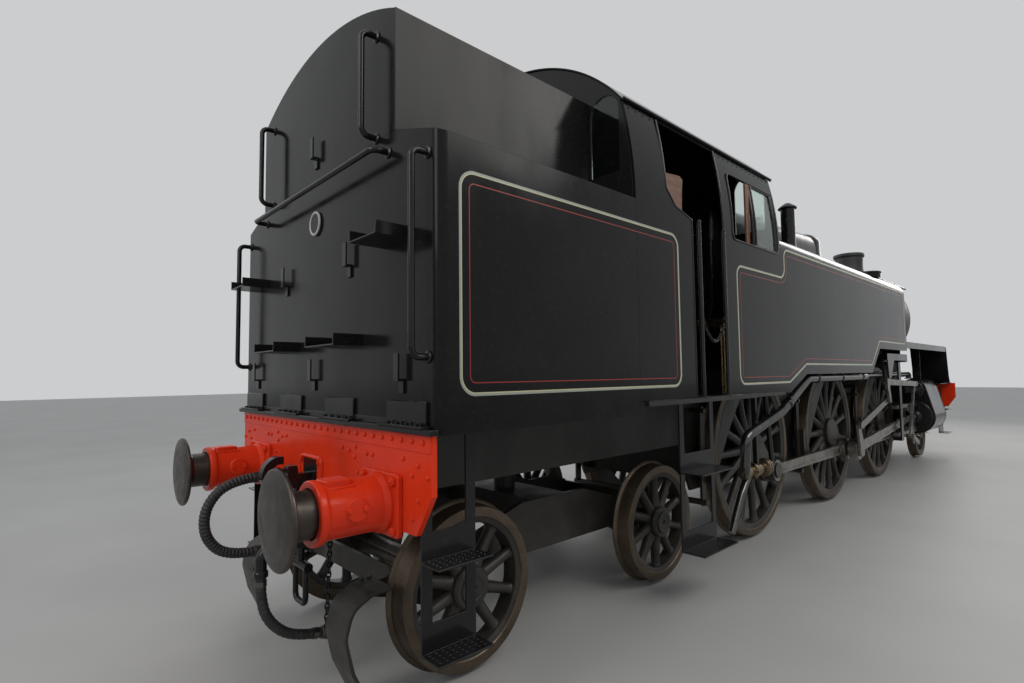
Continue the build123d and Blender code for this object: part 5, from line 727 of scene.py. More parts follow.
def saddled(profile, x, seat, sides=96):
    """Turn a profile about an upright axis on a barrel whose radius is seat.

    Its rows are radius, height over the barrel's crown and follow. Where follow is 1 the ring
    drops with the barrel: z + follow·(sqrt(seat² − y²) − seat).
    """
    radius, height, follow = (np.array(column, float)[:, None] for column in zip(*profile))
    angle = np.linspace(0, 2 * pi, sides, endpoint=False)
    y = radius * np.sin(angle)
    z = BOILER_Z + seat + height + follow * (np.sqrt(seat**2 - y**2) - seat)
    return shell(np.stack([x + radius * np.cos(angle), y, z], -1))


def make_barrel():
    """Turn the clothed barrel with its bands."""
    rings = sorted([(band + off, proud) for band in BANDS for off, proud in BAND] + [(BARREL_KNEE - 0.1, 0)])
    stations = [(0, BARREL_REAR), (BARREL_REAR_R, BARREL_REAR),
                *((barrel_radius(x) + proud, x) for x, proud in rings), (BARREL_FRONT_R, BARREL_FRONT),
                (0, BARREL_FRONT)]
    make("boiler_clothing", [turned(stations, BOILER_AXIS, AHEAD, looks().sides + 32)],
         "fitting_gloss_black", ("boiler_barrel",), angle=20)


def make_smokebox():
    """Turn the smokebox with its rim, and set its rivets and the lugs of the door's hinges."""
    back, front, inner = BARREL_FRONT, SMOKEBOX_FRONT, SMOKEBOX_R - SMOKEBOX_WALL
    profile = ((0, back), (SMOKEBOX_R, back), (SMOKEBOX_R, front - 0.03), (SMOKEBOX_R - 0.008, front - 0.01),
               (SMOKEBOX_R - 0.028, front), (0.62, front), (0.62, front - 0.03), (inner, front - 0.03),
               (inner, back + 0.03), (0, back + 0.03))
    skins = [turned(profile, BOILER_AXIS, AHEAD, looks().sides + 32)]
    skins += [rivets(circle(56, SMOKEBOX_R, (x, 0, BOILER_Z)), circle(56), 0.009)
              for x in (back + 0.05, front - 0.06)]
    skins.append(rivets(circle(56, 0.745, (front, 0, BOILER_Z)), AHEAD, 0.010))
    for height in HINGE_HEIGHTS:
        for low in (height - 0.06, height + 0.04):
            skins.append(box((front - 0.008, HINGE_X), (0.7, 0.74), (low, low + 0.02), 0.003))
            skins.append(bar((HINGE_X, HINGE_Y, low), (HINGE_X, HINGE_Y, low + 0.02), 0.024))
        skins.append(bar((HINGE_X, HINGE_Y, height - 0.064), (HINGE_X, HINGE_Y, height + 0.064), 0.015))
    make("smokebox_plates", skins, "smokebox_matt_black", ("smokebox",))


def make_smokebox_door():
    """Turn the dished door, and set its straps, eyes and the two handles."""
    front = SMOKEBOX_FRONT
    dish = bent(((0, 0.0003), (0.668, 0.0003), (0.668, 0.022), (0.578, 0.062), (0.338, 0.104), (0.12, 0.1175),
                 (0, 0.118)), 0.05, 6)
    dish[1] = (0.664, 0.0003)
    plates = [turned(dish, (front, 0, BOILER_Z), AHEAD)]
    eye = ((0.0151, -0.028), (0.027, -0.028), (0.027, 0.028), (0.0151, 0.028))
    for height in HINGE_HEIGHTS:
        z = (height - 0.028, height + 0.028)
        plates += [box((front + 0.045, front + 0.112), (-0.18, 0.42), z, 0.004),
                   box((front + 0.018, front + 0.082), (0.415, 0.715), z, 0.004),
                   turned(eye, (HINGE_X, HINGE_Y, height), UP, 40, bend=0.002),
                   bolts([(front + 0.112, y, height) for y in (-0.14, 0.02, 0.18, 0.34)], AHEAD, 0.013)]
    at = np.array((front, 0, BOILER_Z))
    handles = [bar(at + (near, 0, 0), at + (far, 0, 0), radius)
               for near, far, radius in ((0.11, 0.168, 0.034), (0.16, 0.17, 0.02))]
    for grip in (((0.15, 0, 0), (0.15, 0, -0.15), (0.16, 0, -0.19)),
                 ((0.126, 0, 0), (0.126, -0.15, 0), (0.132, -0.19, 0))):
        handles.append(tube(bent(at + grip, 0.03), 0.012))
    make("smokebox_door_plates", [*((skin, 0) for skin in plates), *((skin, 1) for skin in handles)],
         ("smokebox_matt_black", "motion_steel"), ("smokebox_door",), "smokebox_door")


def make_chimney_and_dome():
    """Turn the chimney and the dome, both saddled on the boiler."""
    top = CHIMNEY_TOP - BOILER_Z - SMOKEBOX_R
    chimney = ((0.185, -0.008, 1), (0.372, -0.01, 1), (0.378, 0.004, 1), (0.34, 0.018, 0.92),
               (0.3, 0.046, 0.6), (0.262, 0.09, 0.22), (0.238, 0.15, 0), (0.235, 0.26, 0),
               (0.243, top - 0.08, 0), (0.262, top - 0.066, 0), (0.268, top - 0.05, 0),
               (0.268, top - 0.016, 0), (0.258, top, 0), (0.206, top, 0), (0.198, top - 0.01, 0),
               (0.186, 0.1, 0), (0.185, -0.004, 1))
    make("chimney_casting", [saddled(chimney, CHIMNEY_X, SMOKEBOX_R)], "smokebox_matt_black",
         ("chimney",), angle=45)
    seat = barrel_radius(DOME_X)
    spring = DOME_TOP - DOME_RISE - BOILER_Z - seat
    dome = [(0.01, -0.02, 1), (0.398, -0.012, 1), (0.404, 0.002, 1), (0.372, 0.018, 0.9), (0.34, 0.05, 0.55),
            (0.32, 0.1, 0.2), (DOME_R, 0.16, 0), (DOME_R, spring, 0)]
    for turn in np.radians(np.linspace(8, 90, 11)):
        dome.append((DOME_R * cos(turn) ** 0.82, spring + DOME_RISE * sin(turn) ** 1.05, 0))
    make("dome_cover", [saddled(dome, DOME_X, seat)], "fitting_gloss_black", ("dome",),
         angle=40)


# Wheels

WHEELS = {
    "driver": {"tread": 0.8636, "rim": 0.120, "spokes": 15, "root": 0.050, "tip": 0.034, "hub": 0.185,
               "journal": 0.100, "sides": 144},
    "carrier": {"tread": 0.457, "rim": 0.100, "spokes": 10, "root": 0.040, "tip": 0.030, "hub": 0.125,
                "journal": 0.078, "sides": 112},
}
WHEEL_NODES = {
    "driver_1": "driver_wheelset_1", "driver_2": "driver_wheelset_2", "driver_3": "driver_wheelset_3",
    "pony_axle": "pony_wheelset", "bogie_axle_front": "bogie_wheelset_front",
    "bogie_axle_rear": "bogie_wheelset_rear",
}
# Along each spoke from hub to rim: share of its length, widening, and half its depth
SPOKE_SHARE = np.array((0.0, 0.06, 0.15, 0.35, 0.65, 0.85, 0.94, 1.0))
SPOKE_SWELL = np.array((1.75, 1.25, 1.03, 1.0, 1.0, 1.06, 1.35, 2.0))
SPOKE_DEPTH = np.array((0.054, 0.050, 0.046, 0.042, 0.038, 0.036, 0.040, 0.050))
WEIGHT_FAN = radians(49.5)     # half the angle that a balance weight fills
CRANK_BOSS_R = 0.128
AXLE_HALF = 0.6737


def spokes(x, z, wheel, side):
    """Cast the spokes: ovals that swell at hub and rim, strung between them and spread evenly round."""
    inner, outer = wheel["hub"] - 0.025, wheel["tread"] - wheel["rim"] + 0.012
    wide = (wheel["root"] + (wheel["tip"] - wheel["root"]) * SPOKE_SHARE) * SPOKE_SWELL
    around = np.linspace(0, 2 * pi, 16, endpoint=False)
    reach = (inner + (outer - inner) * SPOKE_SHARE)[:, None]
    sidewards = wide[:, None] * np.cos(around)
    depth = side * (WHEEL_BACK + WHEEL_FACE) / 2 + SPOKE_DEPTH[:, None] * np.sin(around)
    made = []
    for number in range(wheel["spokes"]):
        turn = 2 * pi * (number + 0.5) / wheel["spokes"]
        along = reach * cos(turn) - sidewards * sin(turn)
        upward = reach * sin(turn) + sidewards * cos(turn)
        made.append(shell(np.stack([x + along, depth, z + upward], -1)))
    return made


def balance_weight(x, z, bore, away, side):
    """Fill a fan between spokes: an arc along the rim closed by a chord that bulges outwards."""
    arc = away + np.linspace(-WEIGHT_FAN, WEIGHT_FAN, 40)
    rimward = np.stack([x + (bore + 0.01) * np.cos(arc), z + (bore + 0.01) * np.sin(arc)], 1)
    chord = np.linspace(0, 1, 12)[1:-1, None]
    inward = rimward[-1] + (rimward[0] - rimward[-1]) * chord
    inward = inward + 0.045 * np.sin(pi * chord) * np.array([cos(away), sin(away)])
    outline = np.concatenate([rimward, inward])
    return plate(outline, side * (WHEEL_BACK + 0.024), side * (WHEEL_FACE - 0.016), "XZ", 0.008)


def one_wheel(x, z, wheel, side, crank):
    """Make a wheel: rolled tyre, cast centre, hub with its axle end, and a coupled wheel's crank."""
    tread, back, face, sides = wheel["tread"], WHEEL_BACK, WHEEL_FACE, wheel["sides"]
    bore, hub, journal, hub_face = tread - wheel["rim"], wheel["hub"], wheel["journal"], face + 0.028
    origin, outward = (x, 0, z), (0, side, 0)
    tyre = ((tread - 0.06, back + 0.002), (tread + 0.01, back), (tread + 0.022, back + 0.004),
            (tread + FLANGE, back + 0.012), (tread + FLANGE, back + 0.018), (tread + 0.02, back + 0.026),
            (tread + 0.006, back + 0.033), (tread + 0.0015, back + 0.046), (tread, face - 0.012),
            (tread - 0.006, face - 0.001), (tread - 0.012, face), (tread - 0.06, face),
            (tread - 0.066, face - 0.006))
    rim = ((bore, back + 0.016), (tread - 0.063, back + 0.01), (tread - 0.063, face - 0.008),
           (tread - 0.078, face - 0.01), (bore + 0.004, face - 0.018), (bore, face - 0.026))
    boss = ((0, back - 0.006), (hub - 0.006, back - 0.006), (hub, back + 0.02), (hub, hub_face - 0.03),
            (hub - 0.014, hub_face - 0.014), (journal + 0.01, hub_face - 0.014),
            (journal + 0.007, hub_face - 0.001), (journal - 0.01, hub_face - 0.001),
            (journal - 0.018, hub_face - 0.006), (0.022, hub_face - 0.006), (0.016, hub_face - 0.018),
            (0, hub_face - 0.022))
    cast = [turned(rim, origin, outward, sides, loop=True), turned(boss, origin, outward, 72, bend=0.004),
            *spokes(x, z, wheel, side)]
    if crank is not None:
        throw = (x + CRANK * cos(crank), z + CRANK * sin(crank))
        web = belt(((x, z), throw), (hub, CRANK_BOSS_R), 28)
        cast.append(plate(web, side * (back + face) / 2, side * hub_face, "XZ", 0.01))
        cast.append(balance_weight(x, z, bore, crank + pi, side))
    return cast, turned(tyre, origin, outward, sides, loop=True)


def crankpin(x, z, crank, side, driven):
    """Turn a crankpin with its collar and nut; the driven one is stouter and goes on without a nut."""
    radius = 0.076 if driven else 0.062
    pin = (x + CRANK * cos(crank), 0, z + CRANK * sin(crank))
    reach = ((0, 0.846), (radius, 0.846), (radius, 0.951), (radius + 0.016, 0.951), (radius + 0.018, 0.953),
             (radius + 0.018, 0.96), (radius + 0.015, 0.962), (0, 0.962))
    skins = [turned(reach, pin, (0, side, 0), 48)]
    if not driven:
        skins.append(turned(((0, 0.958), (0.022, 0.958), (0.022, 0.9625), (0, 0.9625)), pin, (0, side, 0), 6))
    return skins


def make_wheels():
    """Make the six wheelsets: cast centres, tyres, and axles with crankpins in their own finishes."""
    for body, node in WHEEL_NODES.items():
        coupled = body in DRIVERS
        wheel = WHEELS["driver" if coupled else "carrier"]
        x = DRIVERS[body] if coupled else CARRIERS[body]
        z = DRIVER_Z if coupled else CARRIER_Z
        skins = []
        for side in SIDES:
            crank = radians(CRANK_ANGLE[side]) if coupled else None
            cast, tyre = one_wheel(x, z, wheel, side, crank)
            skins += [*((skin, 0) for skin in cast), (tyre, 1)]
            if coupled:
                skins += [(skin, 2) for skin in crankpin(x, z, crank, side, body == "driver_2")]
        journal, neck = wheel["journal"], wheel["journal"] - 0.008
        axle = ((0, -AXLE_HALF), (journal, -AXLE_HALF), (journal, -0.56), (neck, -0.5), (neck, 0.5),
                (journal, 0.56), (journal, AXLE_HALF), (0, AXLE_HALF))
        skins.append((turned(axle, (x, 0, z), (0, 1, 0), 56), 2))
        make(node + "_cast", skins, ("frame_satin_black", "tyre_steel", "oiled_steel"),
             (node,), body)


# Buffers and beams

STOCK_R, STOCK_LENGTH = 0.133, 0.380
PLUNGER_R = 0.110
BASE_HALF = (0.185, 0.150)     # half width and half height of a stock's base
BASE_THICK = 0.027
PLUNGER = ((0, 0.04), (PLUNGER_R, 0.04), (PLUNGER_R, 0.47), (PLUNGER_R + 0.01, 0.488), (0.15, 0.498),
           (0.196, 0.505), (0.216, 0.507), (0.222, 0.512), (0.222, 0.524), (0.214, 0.53), (0.16, 0.5385),
           (0.08, 0.542), (0, 0.542))
DISC = ((0, -0.012), (0.055, -0.012), (0.055, 0.003), (0.05, 0.007), (0, 0.007))
LABEL = ((-0.066, -0.021), (0.066, -0.021), (0.066, 0.021), (-0.066, 0.021))
LABEL_LEAN = radians(66)


def outside(end, off):
    """Give X at a distance outside the face of a beam."""
    return end * (BEAM_X + off)


def stock_profile():
    """Give the stock's profile round the plunger's bore."""
    bore, lip, mouth = PLUNGER_R + 0.0002, STOCK_R + 0.016, STOCK_LENGTH
    return ((bore, 0), (lip, 0), (lip, 0.04), (STOCK_R + 0.003, 0.066), (STOCK_R - 0.001, 0.15),
            (STOCK_R, mouth - 0.05), (lip - 0.003, mouth - 0.04), (lip, mouth - 0.03), (lip, mouth - 0.008),
            (lip - 0.005, mouth), (bore + 0.008, mouth), (bore + 0.0005, mouth - 0.008), (bore, mouth - 0.08))


def stock_fittings(end, y, z):
    """Set what stands on a stock: bolted base, stepped pad, side discs and the raised label rims."""
    wide, tall = BASE_HALF
    base = oblong((y - wide, y + wide), (z - tall, z + tall), 0.022)
    corners = [(outside(end, BASE_THICK), y + a * (wide - 0.04), z + b * (tall - 0.032))
               for a in SIDES for b in SIDES]
    pad = oblong((outside(end, 0.195), outside(end, 0.324)), (y - 0.06, y + 0.06), 0.012)
    top = z + STOCK_R
    skins = [plate(base, outside(end, 0), outside(end, BASE_THICK), "YZ", 0.004),
             bolts(corners, (end, 0, 0), 0.024, 0.018),
             rivets(np.add(corners, (end * 0.016, 0, 0)), (end, 0, 0), 0.012, 0.010),
             plate(pad, z + 0.105, top + 0.0105, "XY", 0.004)]
    for near in 0.206 + 0.0185 * np.arange(6):
        skins.append(box((outside(end, near), outside(end, near + 0.009)), (y - 0.052, y + 0.052),
                         (top + 0.008, top + 0.0125), 0.001))
    for cheek in SIDES:
        facing = unit((0, cheek, 0.09))
        spot = (outside(end, 0.205), y, z) + facing * (STOCK_R - 0.001)
        skins.append(turned(DISC, spot, facing, 48, bend=0.002))
        pair = [spot + facing * 0.007 + (step, 0, 0) for step in (-0.039, 0.039)]
        skins.append(bolts(pair, facing, 0.0145, 0.013))
        facing = unit((0, cheek * cos(LABEL_LEAN), sin(LABEL_LEAN)))
        spot = (outside(end, 0.256), y, z) + facing * (STOCK_R - 0.001)
        rim = [spot + (a, 0, 0) + np.cross(facing, AHEAD) * b for a, b in LABEL]
        rim = bent([*rim, rim[0], rim[1] * 0.1 + rim[0] * 0.9], 0.006, 3)
        skins.append(tube(rim, 0.0055, 8))
    return skins


def make_buffers():
    """Turn the stocks with their bolted bases and the plungers with dished heads."""
    stocks, heads = [], []
    for end in ENDS:
        for y in (BUFFER_Y, -BUFFER_Y):
            centre, outward = (end * BEAM_X, y, BUFFER_Z), (end, 0, 0)
            stocks.append(turned(stock_profile(), centre, outward, 96, loop=True, bend=0.005))
            stocks += stock_fittings(end, y, BUFFER_Z)
            heads.append(turned(PLUNGER, centre, outward, 112, bend=0.008, steps=5))
    make("buffer_stocks_cast", stocks, "beam_red", ("buffer_stocks",))
    make("buffer_heads_forged", heads, "buffer_steel", ("buffer_heads",))


# Rivets on each half of a beam's face, limits of the ledge's brackets, and where the ledge starts
BEAM_RIVETS = ((1.267, 1.244), (1.140, 1.241), (1.187, 1.130), (1.189, 1.290), (1.140, 1.040), (0.575, 1.325),
               (0.567, 1.270), (0.600, 1.190), (0.600, 1.100), (0.600, 1.010), (0.500, 1.300), (0.420, 1.310),
               (0.700, 1.300), (0.760, 1.300), (1.060, 1.310))
BRACKETS = ((-1.25, -0.90), (-0.54, -0.18), (0.18, 0.54), (0.90, 1.25))
LEDGE_BACK = -0.0148


def make_beam_details():
    """Add the lap strip, rivets, draw plate and the bolted ledge that stand on the beams."""
    red, black = [], []
    for end in ENDS:
        out = (end, 0, 0)
        strip = oblong((-1.294, 1.294), (1.352, 1.434), 0.004, 1)
        hook = oblong((-0.165, 0.165), (0.95, 1.225), 0.045, 6)
        rim = inset(hook, 0.012)
        spots = [(outside(end, 0.005), y, 1.398) for y in np.arange(-1.236, 1.24, 0.0915)]
        spots += [(outside(end, 0), side * y, z) for side in SIDES for y, z in BEAM_RIVETS]
        corners = [(outside(end, 0.01), a * 0.13, 1.0875 + b * 0.105) for a in SIDES for b in SIDES]
        red += [plate(strip, outside(end, -0.002), outside(end, 0.005), "YZ", 0.0015),
                rivets(spots, out, looks().rivet, 0.011),
                plate(hook, outside(end, 0), outside(end, 0.01), "YZ", 0.003),
                tube(lay(np.concatenate([rim, rim[:2]]), outside(end, 0.01), "YZ"), 0.009, 10),
                bolts(corners, out, 0.018, 0.013)]
    # Plates of the rear ledge: limits across, limits in height, reach, corner, chamfer
    shapes = [((-1.335, 1.335), (1.4352, 1.462), 0.034, (0.004, 1), 0.003),
              ((-1.25, 1.25), (1.462, 1.496), -0.007, (0.004, 1), 0.002)]
    for low, high in BRACKETS:
        shapes += [((low, high), (1.466, 1.585), 0.001, (0.01, 3), 0.003),
                   ((low - 0.02, high + 0.02), (1.462, 1.474), 0.04, (0.003, 1), 0.002)]
        places = [(outside(-1, 0.02), y, 1.474) for y in np.linspace(low + 0.05, high - 0.05, 4)]
        black.append(bolts(places, UP, 0.014, 0.011))
    for across_by, upwards, reach, corner, chamfer in shapes:
        outline = oblong(across_by, upwards, *corner)
        black.append(plate(outline, outside(-1, LEDGE_BACK), outside(-1, reach), "YZ", chamfer))
    make("beam_plates_and_rivets", red, "beam_red")
    make("beam_ledge", black, "fitting_gloss_black")


def make_guard_irons():
    """Bend the broad guard irons of the trailing bogie out behind its wheels and down to the rails."""
    path = bent(((-6.184, 0.602), (-6.3, 0.6), (-6.405, 0.545), (-6.44, 0.42), (-6.4, 0.25), (-6.33, 0.105)),
                0.1, 8)
    along = np.gradient(path, axis=0)
    along /= np.linalg.norm(along, axis=1, keepdims=True)
    half = np.stack([-along[:, 1], along[:, 0]], 1) * 0.009
    outline = np.concatenate([path + half, (path - half)[::-1]])
    arm = rounded([(-6.29, 0.592), (-6.29, 0.54), (-6.07, 0.47), (-6.02, 0.47), (-6.02, 0.592)], 0.012)
    skins = []
    for side in SIDES:
        skins += [plate(outline, side * 0.559, side * 0.785, "XZ", 0.003),
                  plate(arm, side * 0.5565, side * 0.592, "XZ", 0.004),
                  bolts([(x, side * 0.592, 0.525) for x in (-6.09, -6.045)], (0, side, 0), 0.016, 0.012),
                  bolts([(x, side * 0.575, 0.611) for x in (-6.205, -6.25)], UP, 0.014, 0.011)]
    make("bogie_guard_irons", skins, "frame_satin_black", body="bogie")


# Lining on the bunker, cab and tank sides

BUNKER_PANEL = ((-6.160, 1.604), (-4.207, 1.604), (-4.207, 2.684), (-6.160, 2.684))
TANK_PANEL = ((-3.308, 1.595), (-2.269, 1.595), (-1.829, 1.766), (0.441, 1.766), (0.831, 2.083),
              (2.235, 2.083), (2.235, 2.872), (-2.310, 2.872), (-2.310, 2.592), (-3.308, 2.592))
PANEL_CORNER = 0.095
LINE_THICK = 0.0007
FINE_LINE = 0.0055             # width of the cream and of the red line


def ribbon(panel, outer, inner, side):
    """Lay a thin closed band between two insets of a panel's rounded outline on the side sheet."""
    low, high = BODY_HALF - 0.0002, BODY_HALF - 0.0002 + LINE_THICK
    outline = rounded(panel, PANEL_CORNER, 14)
    far, near = inset(outline, outer), inset(outline, inner)
    rings = [lay(far, low, "XZ"), lay(far, high, "XZ"), lay(near, high, "XZ"), lay(near, low, "XZ")]
    points, groups = shell(rings, loop=True)
    if side < 0:
        points, groups = points * (1, -1, 1), [group[:, ::-1] for group in groups]
    return points, groups


def make_lining():
    """Lay the pale line with its cream edge, and the red line inside it, round both panels."""
    width = looks().line_width
    cream = width + FINE_LINE
    red = cream + looks().line_gap
    for name, near, far in (("lining_grey", 0, width), ("lining_cream", width, cream),
                            ("lining_red", red, red + FINE_LINE)):
        skins = [ribbon(panel, near, far, side) for side in SIDES for panel in (BUNKER_PANEL, TANK_PANEL)]
        make(name + "_bands", skins, name)


# Rails on the bunker, cab and boiler

RAIL_R, RAIL_OFF, RAIL_BEND = 0.0165, 0.092, 0.050
RAIL_Y = 1.350                 # the doorway's handrails and its chain
DOOR_RAILS = (DOOR_REAR + 0.070, DOOR_FRONT - 0.045)
# Feet of each rail behind the bunker: two places of Y and Z
REAR_RAILS = (
    ((1.250, 1.788), (1.250, 2.748)), ((-1.250, 1.788), (-1.250, 2.748)), ((0.765, 2.973), (0.765, 3.538)),
    ((-0.765, 2.973), (-0.765, 3.538)), ((-0.890, 2.858), (0.890, 2.858)),
)
BOILER_RAIL = (0.800, 0.560)   # from the boiler's axis, sideways and up
COLLAR = ((0, -0.001), (0.03, -0.001), (0.03, 0.006), (0.019, 0.012), (0, 0.012))
FINIAL = ((0, 0), (0.013, 0), (0.019, 0.01), (0.018, 0.022), (0.01, 0.03), (0, 0.032))
KNOB = ((0, -0.022), (0.014, -0.019), (0.021, 0), (0.014, 0.019), (0, 0.022))


def make_rails():
    """Bend the handrails, with a foot where each meets the sheet."""
    rails = []
    for first, last in REAR_RAILS:
        near, far = BUNKER_REAR, BUNKER_REAR - RAIL_OFF
        path = bent(((near, *first), (far, *first), (far, *last), (near, *last)), RAIL_BEND, 8)
        rails.append(tube(path, RAIL_R))
        rails += [turned(COLLAR, (near, *foot), (-1, 0, 0), 32, bend=0.002) for foot in (first, last)]
    for side in SIDES:
        for x in DOOR_RAILS:
            y = side * RAIL_Y
            rails += [bar((x, y, FLOOR_TOP), (x, y, 2.828), RAIL_R), turned(FINIAL, (x, y, 2.81), UP, 24),
                      turned(COLLAR, (x, y, FLOOR_TOP + 0.001), UP, 32, bend=0.002)]
        out, rise = BOILER_RAIL
        y, z = side * out, BOILER_Z + rise
        first, last = TANK_FRONT + 0.26, SMOKEBOX_FRONT - 0.16
        rails.append(bar((first, y, z), (last, y, z), RAIL_R))
        for x in np.linspace(first + 0.06, last - 0.06, 4):
            radius = SMOKEBOX_R if x > BARREL_FRONT else barrel_radius(x)
            inner = sqrt(radius**2 - rise**2) - 0.004
            stem = [(x, side * off, z) for off in (inner, inner + 0.02, out - 0.01)]
            rails += [tube(stem, [0.016, 0.010, 0.009], 16), turned(KNOB, (x, y, z), AHEAD, 24)]
    make("handrails_bent", rails, "fitting_gloss_black", ("handrails",))


# Pipes, injectors, standpipes and tank vents

INJECTOR_X, INJECTOR_Y, INJECTOR_Z = -2.919, 1.150, 0.818
INJECTOR_END = -2.379
FEED_Y, FEED_Z = -1.272, 1.628
CLACK = (4.200, -0.950, 1.548)         # where the feed pipe ends
VENT_X, VENT_Y, VENT_Z = -1.490, 1.090, FLANGE + 3.440
INJECTOR = ((0, 0), (0.05, 0), (0.06, 0.015), (0.06, 0.06), (0.046, 0.08), (0.05, 0.145), (0.076, 0.15),
            (0.076, 0.174), (0.05, 0.18), (0.056, 0.24), (0.056, 0.3), (0.047, 0.34), (0.05, 0.386),
            (0.082, 0.39), (0.082, 0.412), (0.06, 0.416), (0.06, 0.43), (0.082, 0.434), (0.082, 0.454),
            (0.052, 0.46), (0.046, 0.52), (0.04, 0.54), (0, 0.54))
VENT = ((0, TANK_CROWN - 0.002), (0.1, TANK_CROWN - 0.002), (0.1, TANK_CROWN + 0.014),
        (0.073, TANK_CROWN + 0.02), (0.07, TANK_CROWN + 0.06), (0.07, VENT_Z - 0.004), (0.095, VENT_Z),
        (0.096, VENT_Z + 0.012), (0.07, VENT_Z + 0.034), (0.03, VENT_Z + 0.062), (0, VENT_Z + 0.07))
PIPE_CLIP = ((0.0405, -0.016), (0.05, -0.016), (0.05, 0.016), (0.0405, 0.016))
CLACK_NUT = ((0, 0), (0.064, 0), (0.064, 0.016), (0, 0.016))
BEAM_FLANGE = ((0, 0), (0.058, 0), (0.058, 0.012), (0.042, 0.018), (0, 0.018))
MOUTH_RING = ((0, -0.026), (0.041, -0.026), (0.041, 0), (0, 0))
PIPE_NUT = ((0, 0), (0.041, 0), (0.046, 0.01), (0.046, 0.024), (0.03, 0.028), (0, 0.028))
PLUG = ((0, 0), (0.041, 0), (0.041, 0.026), (0.022, 0.03), (0, 0.03))
HEAT_NUT = ((0, 0), (0.0375, 0), (0.0375, 0.026), (0.033, 0.034), (0, 0.034))


def feed_pipe():
    """Bend the feed pipe up to the tank and forwards, and give it with its clips and their stays."""
    x, y, z, far = INJECTOR_X, -INJECTOR_Y, INJECTOR_Z, CLACK[1]
    run = np.array(((x + 0.03, y, z), (x - 0.09, y - 0.06, z + 0.02), (x - 0.09, y - 0.08, z + 0.33),
                    (-2.309, -1.26, 1.325), (-1.639, FEED_Y, FEED_Z), (0.401, FEED_Y, FEED_Z),
                    (0.471, far, FEED_Z), (CLACK[0], far, FEED_Z), CLACK))
    pipe, stays = [tube(bent(run, 0.085, 10), 0.042, 32)], []
    for near, shares in ((3, (0.22,)), (4, (0.12, 0.5, 0.88))):
        first, last = run[near:near + 2]
        for spot in (first + (last - first) * share for share in shares):
            pipe.append(turned(PIPE_CLIP, spot, unit(last - first), 32, loop=True, bend=0.002))
            x, y, z = spot
            stays.append(box((x - 0.012, x + 0.012), (-1.3, -1.262), (z + 0.04, z + 0.075)))
    return pipe, stays


def injector_pipes(side):
    """Bend an injector's overflow and its steam pipe, and give the hanger and flange bolts too."""
    x, y, z = INJECTOR_X, side * INJECTOR_Y, INJECTOR_Z
    tail = bent(((x + 0.14, y, z), (x - 0.04, y, z - 0.17), (x - 0.25, y, z - 0.464)), 0.1, 8)
    end = INJECTOR_END
    steam = bent(((end - 0.02, y, z), (end + 0.08, y, z), (end + 0.1, y - side * 0.05, 1.46)), 0.06, 8)
    dark = [bolts(circle(6, 0.068, (x + step, y, z)), (way, 0, 0), 0.010, 0.010)
            for step, way in ((0.15, -1), (0.454, 1))]
    dark += [box((x + 0.25, x + 0.29), (y - 0.02, y + 0.02), (z + 0.05, 1.488)), tube(steam, 0.024)]
    return tube(tail, 0.030, 24), dark


def make_pipework():
    """Bend the feed pipe and overflows, and turn the injectors, standpipes and vents."""
    bright, dark = feed_pipe()
    bodies = []
    for side in SIDES:
        bodies.append(turned(INJECTOR, (INJECTOR_X, side * INJECTOR_Y, INJECTOR_Z), AHEAD, 48, bend=0.004))
        tail, others = injector_pipes(side)
        bright.append(tail)
        dark += [*others, turned(VENT, (VENT_X, side * VENT_Y, 0), UP, 48, bend=0.006)]
        spots = [(VENT_X + step, side * VENT_Y, TANK_CROWN + 0.014) for step in (-0.09, 0.09)]
        dark.append(bolts(spots, UP, 0.010))
    dark.append(turned(CLACK_NUT, CLACK, UP, 6))
    for end in ENDS:
        stand = [(end * x, PIPE_Y, PIPE_Z) for x in (BEAM_X, 6.36, 6.48)]
        dark.append(tube(stand, 0.034, 32))
        for profile, place in zip((BEAM_FLANGE, PIPE_NUT, MOUTH_RING), stand):
            dark.append(turned(profile, place, (end, 0, 0), 40, bend=0.003))
    mouth = HEAT_ROUTE[0]
    elbow = bent(((BUNKER_REAR, HEAT_Y, 0.966), (BUNKER_REAR, HEAT_Y, 0.78), (mouth[0], HEAT_Y, 0.78),
                  (mouth[0], HEAT_Y, 0.67)), 0.075, 9)
    dark += [turned(PLUG, VACUUM_ROUTE[-1], AHEAD, 40, bend=0.003),
             bar((-6.455, PIPE_Y, PLUG_Z), (-6.27, PIPE_Y, PLUG_Z), 0.018),
             bar((BUNKER_REAR, PIPE_Y, 0.6), (BUNKER_REAR, PIPE_Y, 0.966), 0.014),
             tube(elbow, 0.030, 28), turned(HEAT_NUT, mouth, UP, 36, bend=0.003),
             *chain((-6.3, HEAT_Y, 0.262), (BUNKER_REAR, HEAT_Y, 0.95), 0.0055, 0.020)]
    make("feed_pipe_and_overflows", bright, "pipe_bright", ("pipework", "feed_pipe"))
    make("standpipes_and_vents", dark, "fitting_gloss_black")
    make("injector_bodies", bodies, "weathered_bronze")


# Cylinders

CYLINDER_R, CHEST_R = 0.298, 0.185
# Inner ends of the covers' profiles at the front (1) and at the rear (-1)
COVER_ENDS = {1: ((0.11, 0.036), (0.1, 0.052), (0.068, 0.052), (0.0422, 0.052)),
              -1: ((0.11, 0.03), (0.1, 0.034), (0.068, 0.07), (0.0422, 0.07))}
VALVE_ENDS = {1: ((0.056, 0.104), (0.04, 0.11), (0, 0.11)), -1: ((0.056, 0.086), (0.04, 0.09), (0, 0.09))}


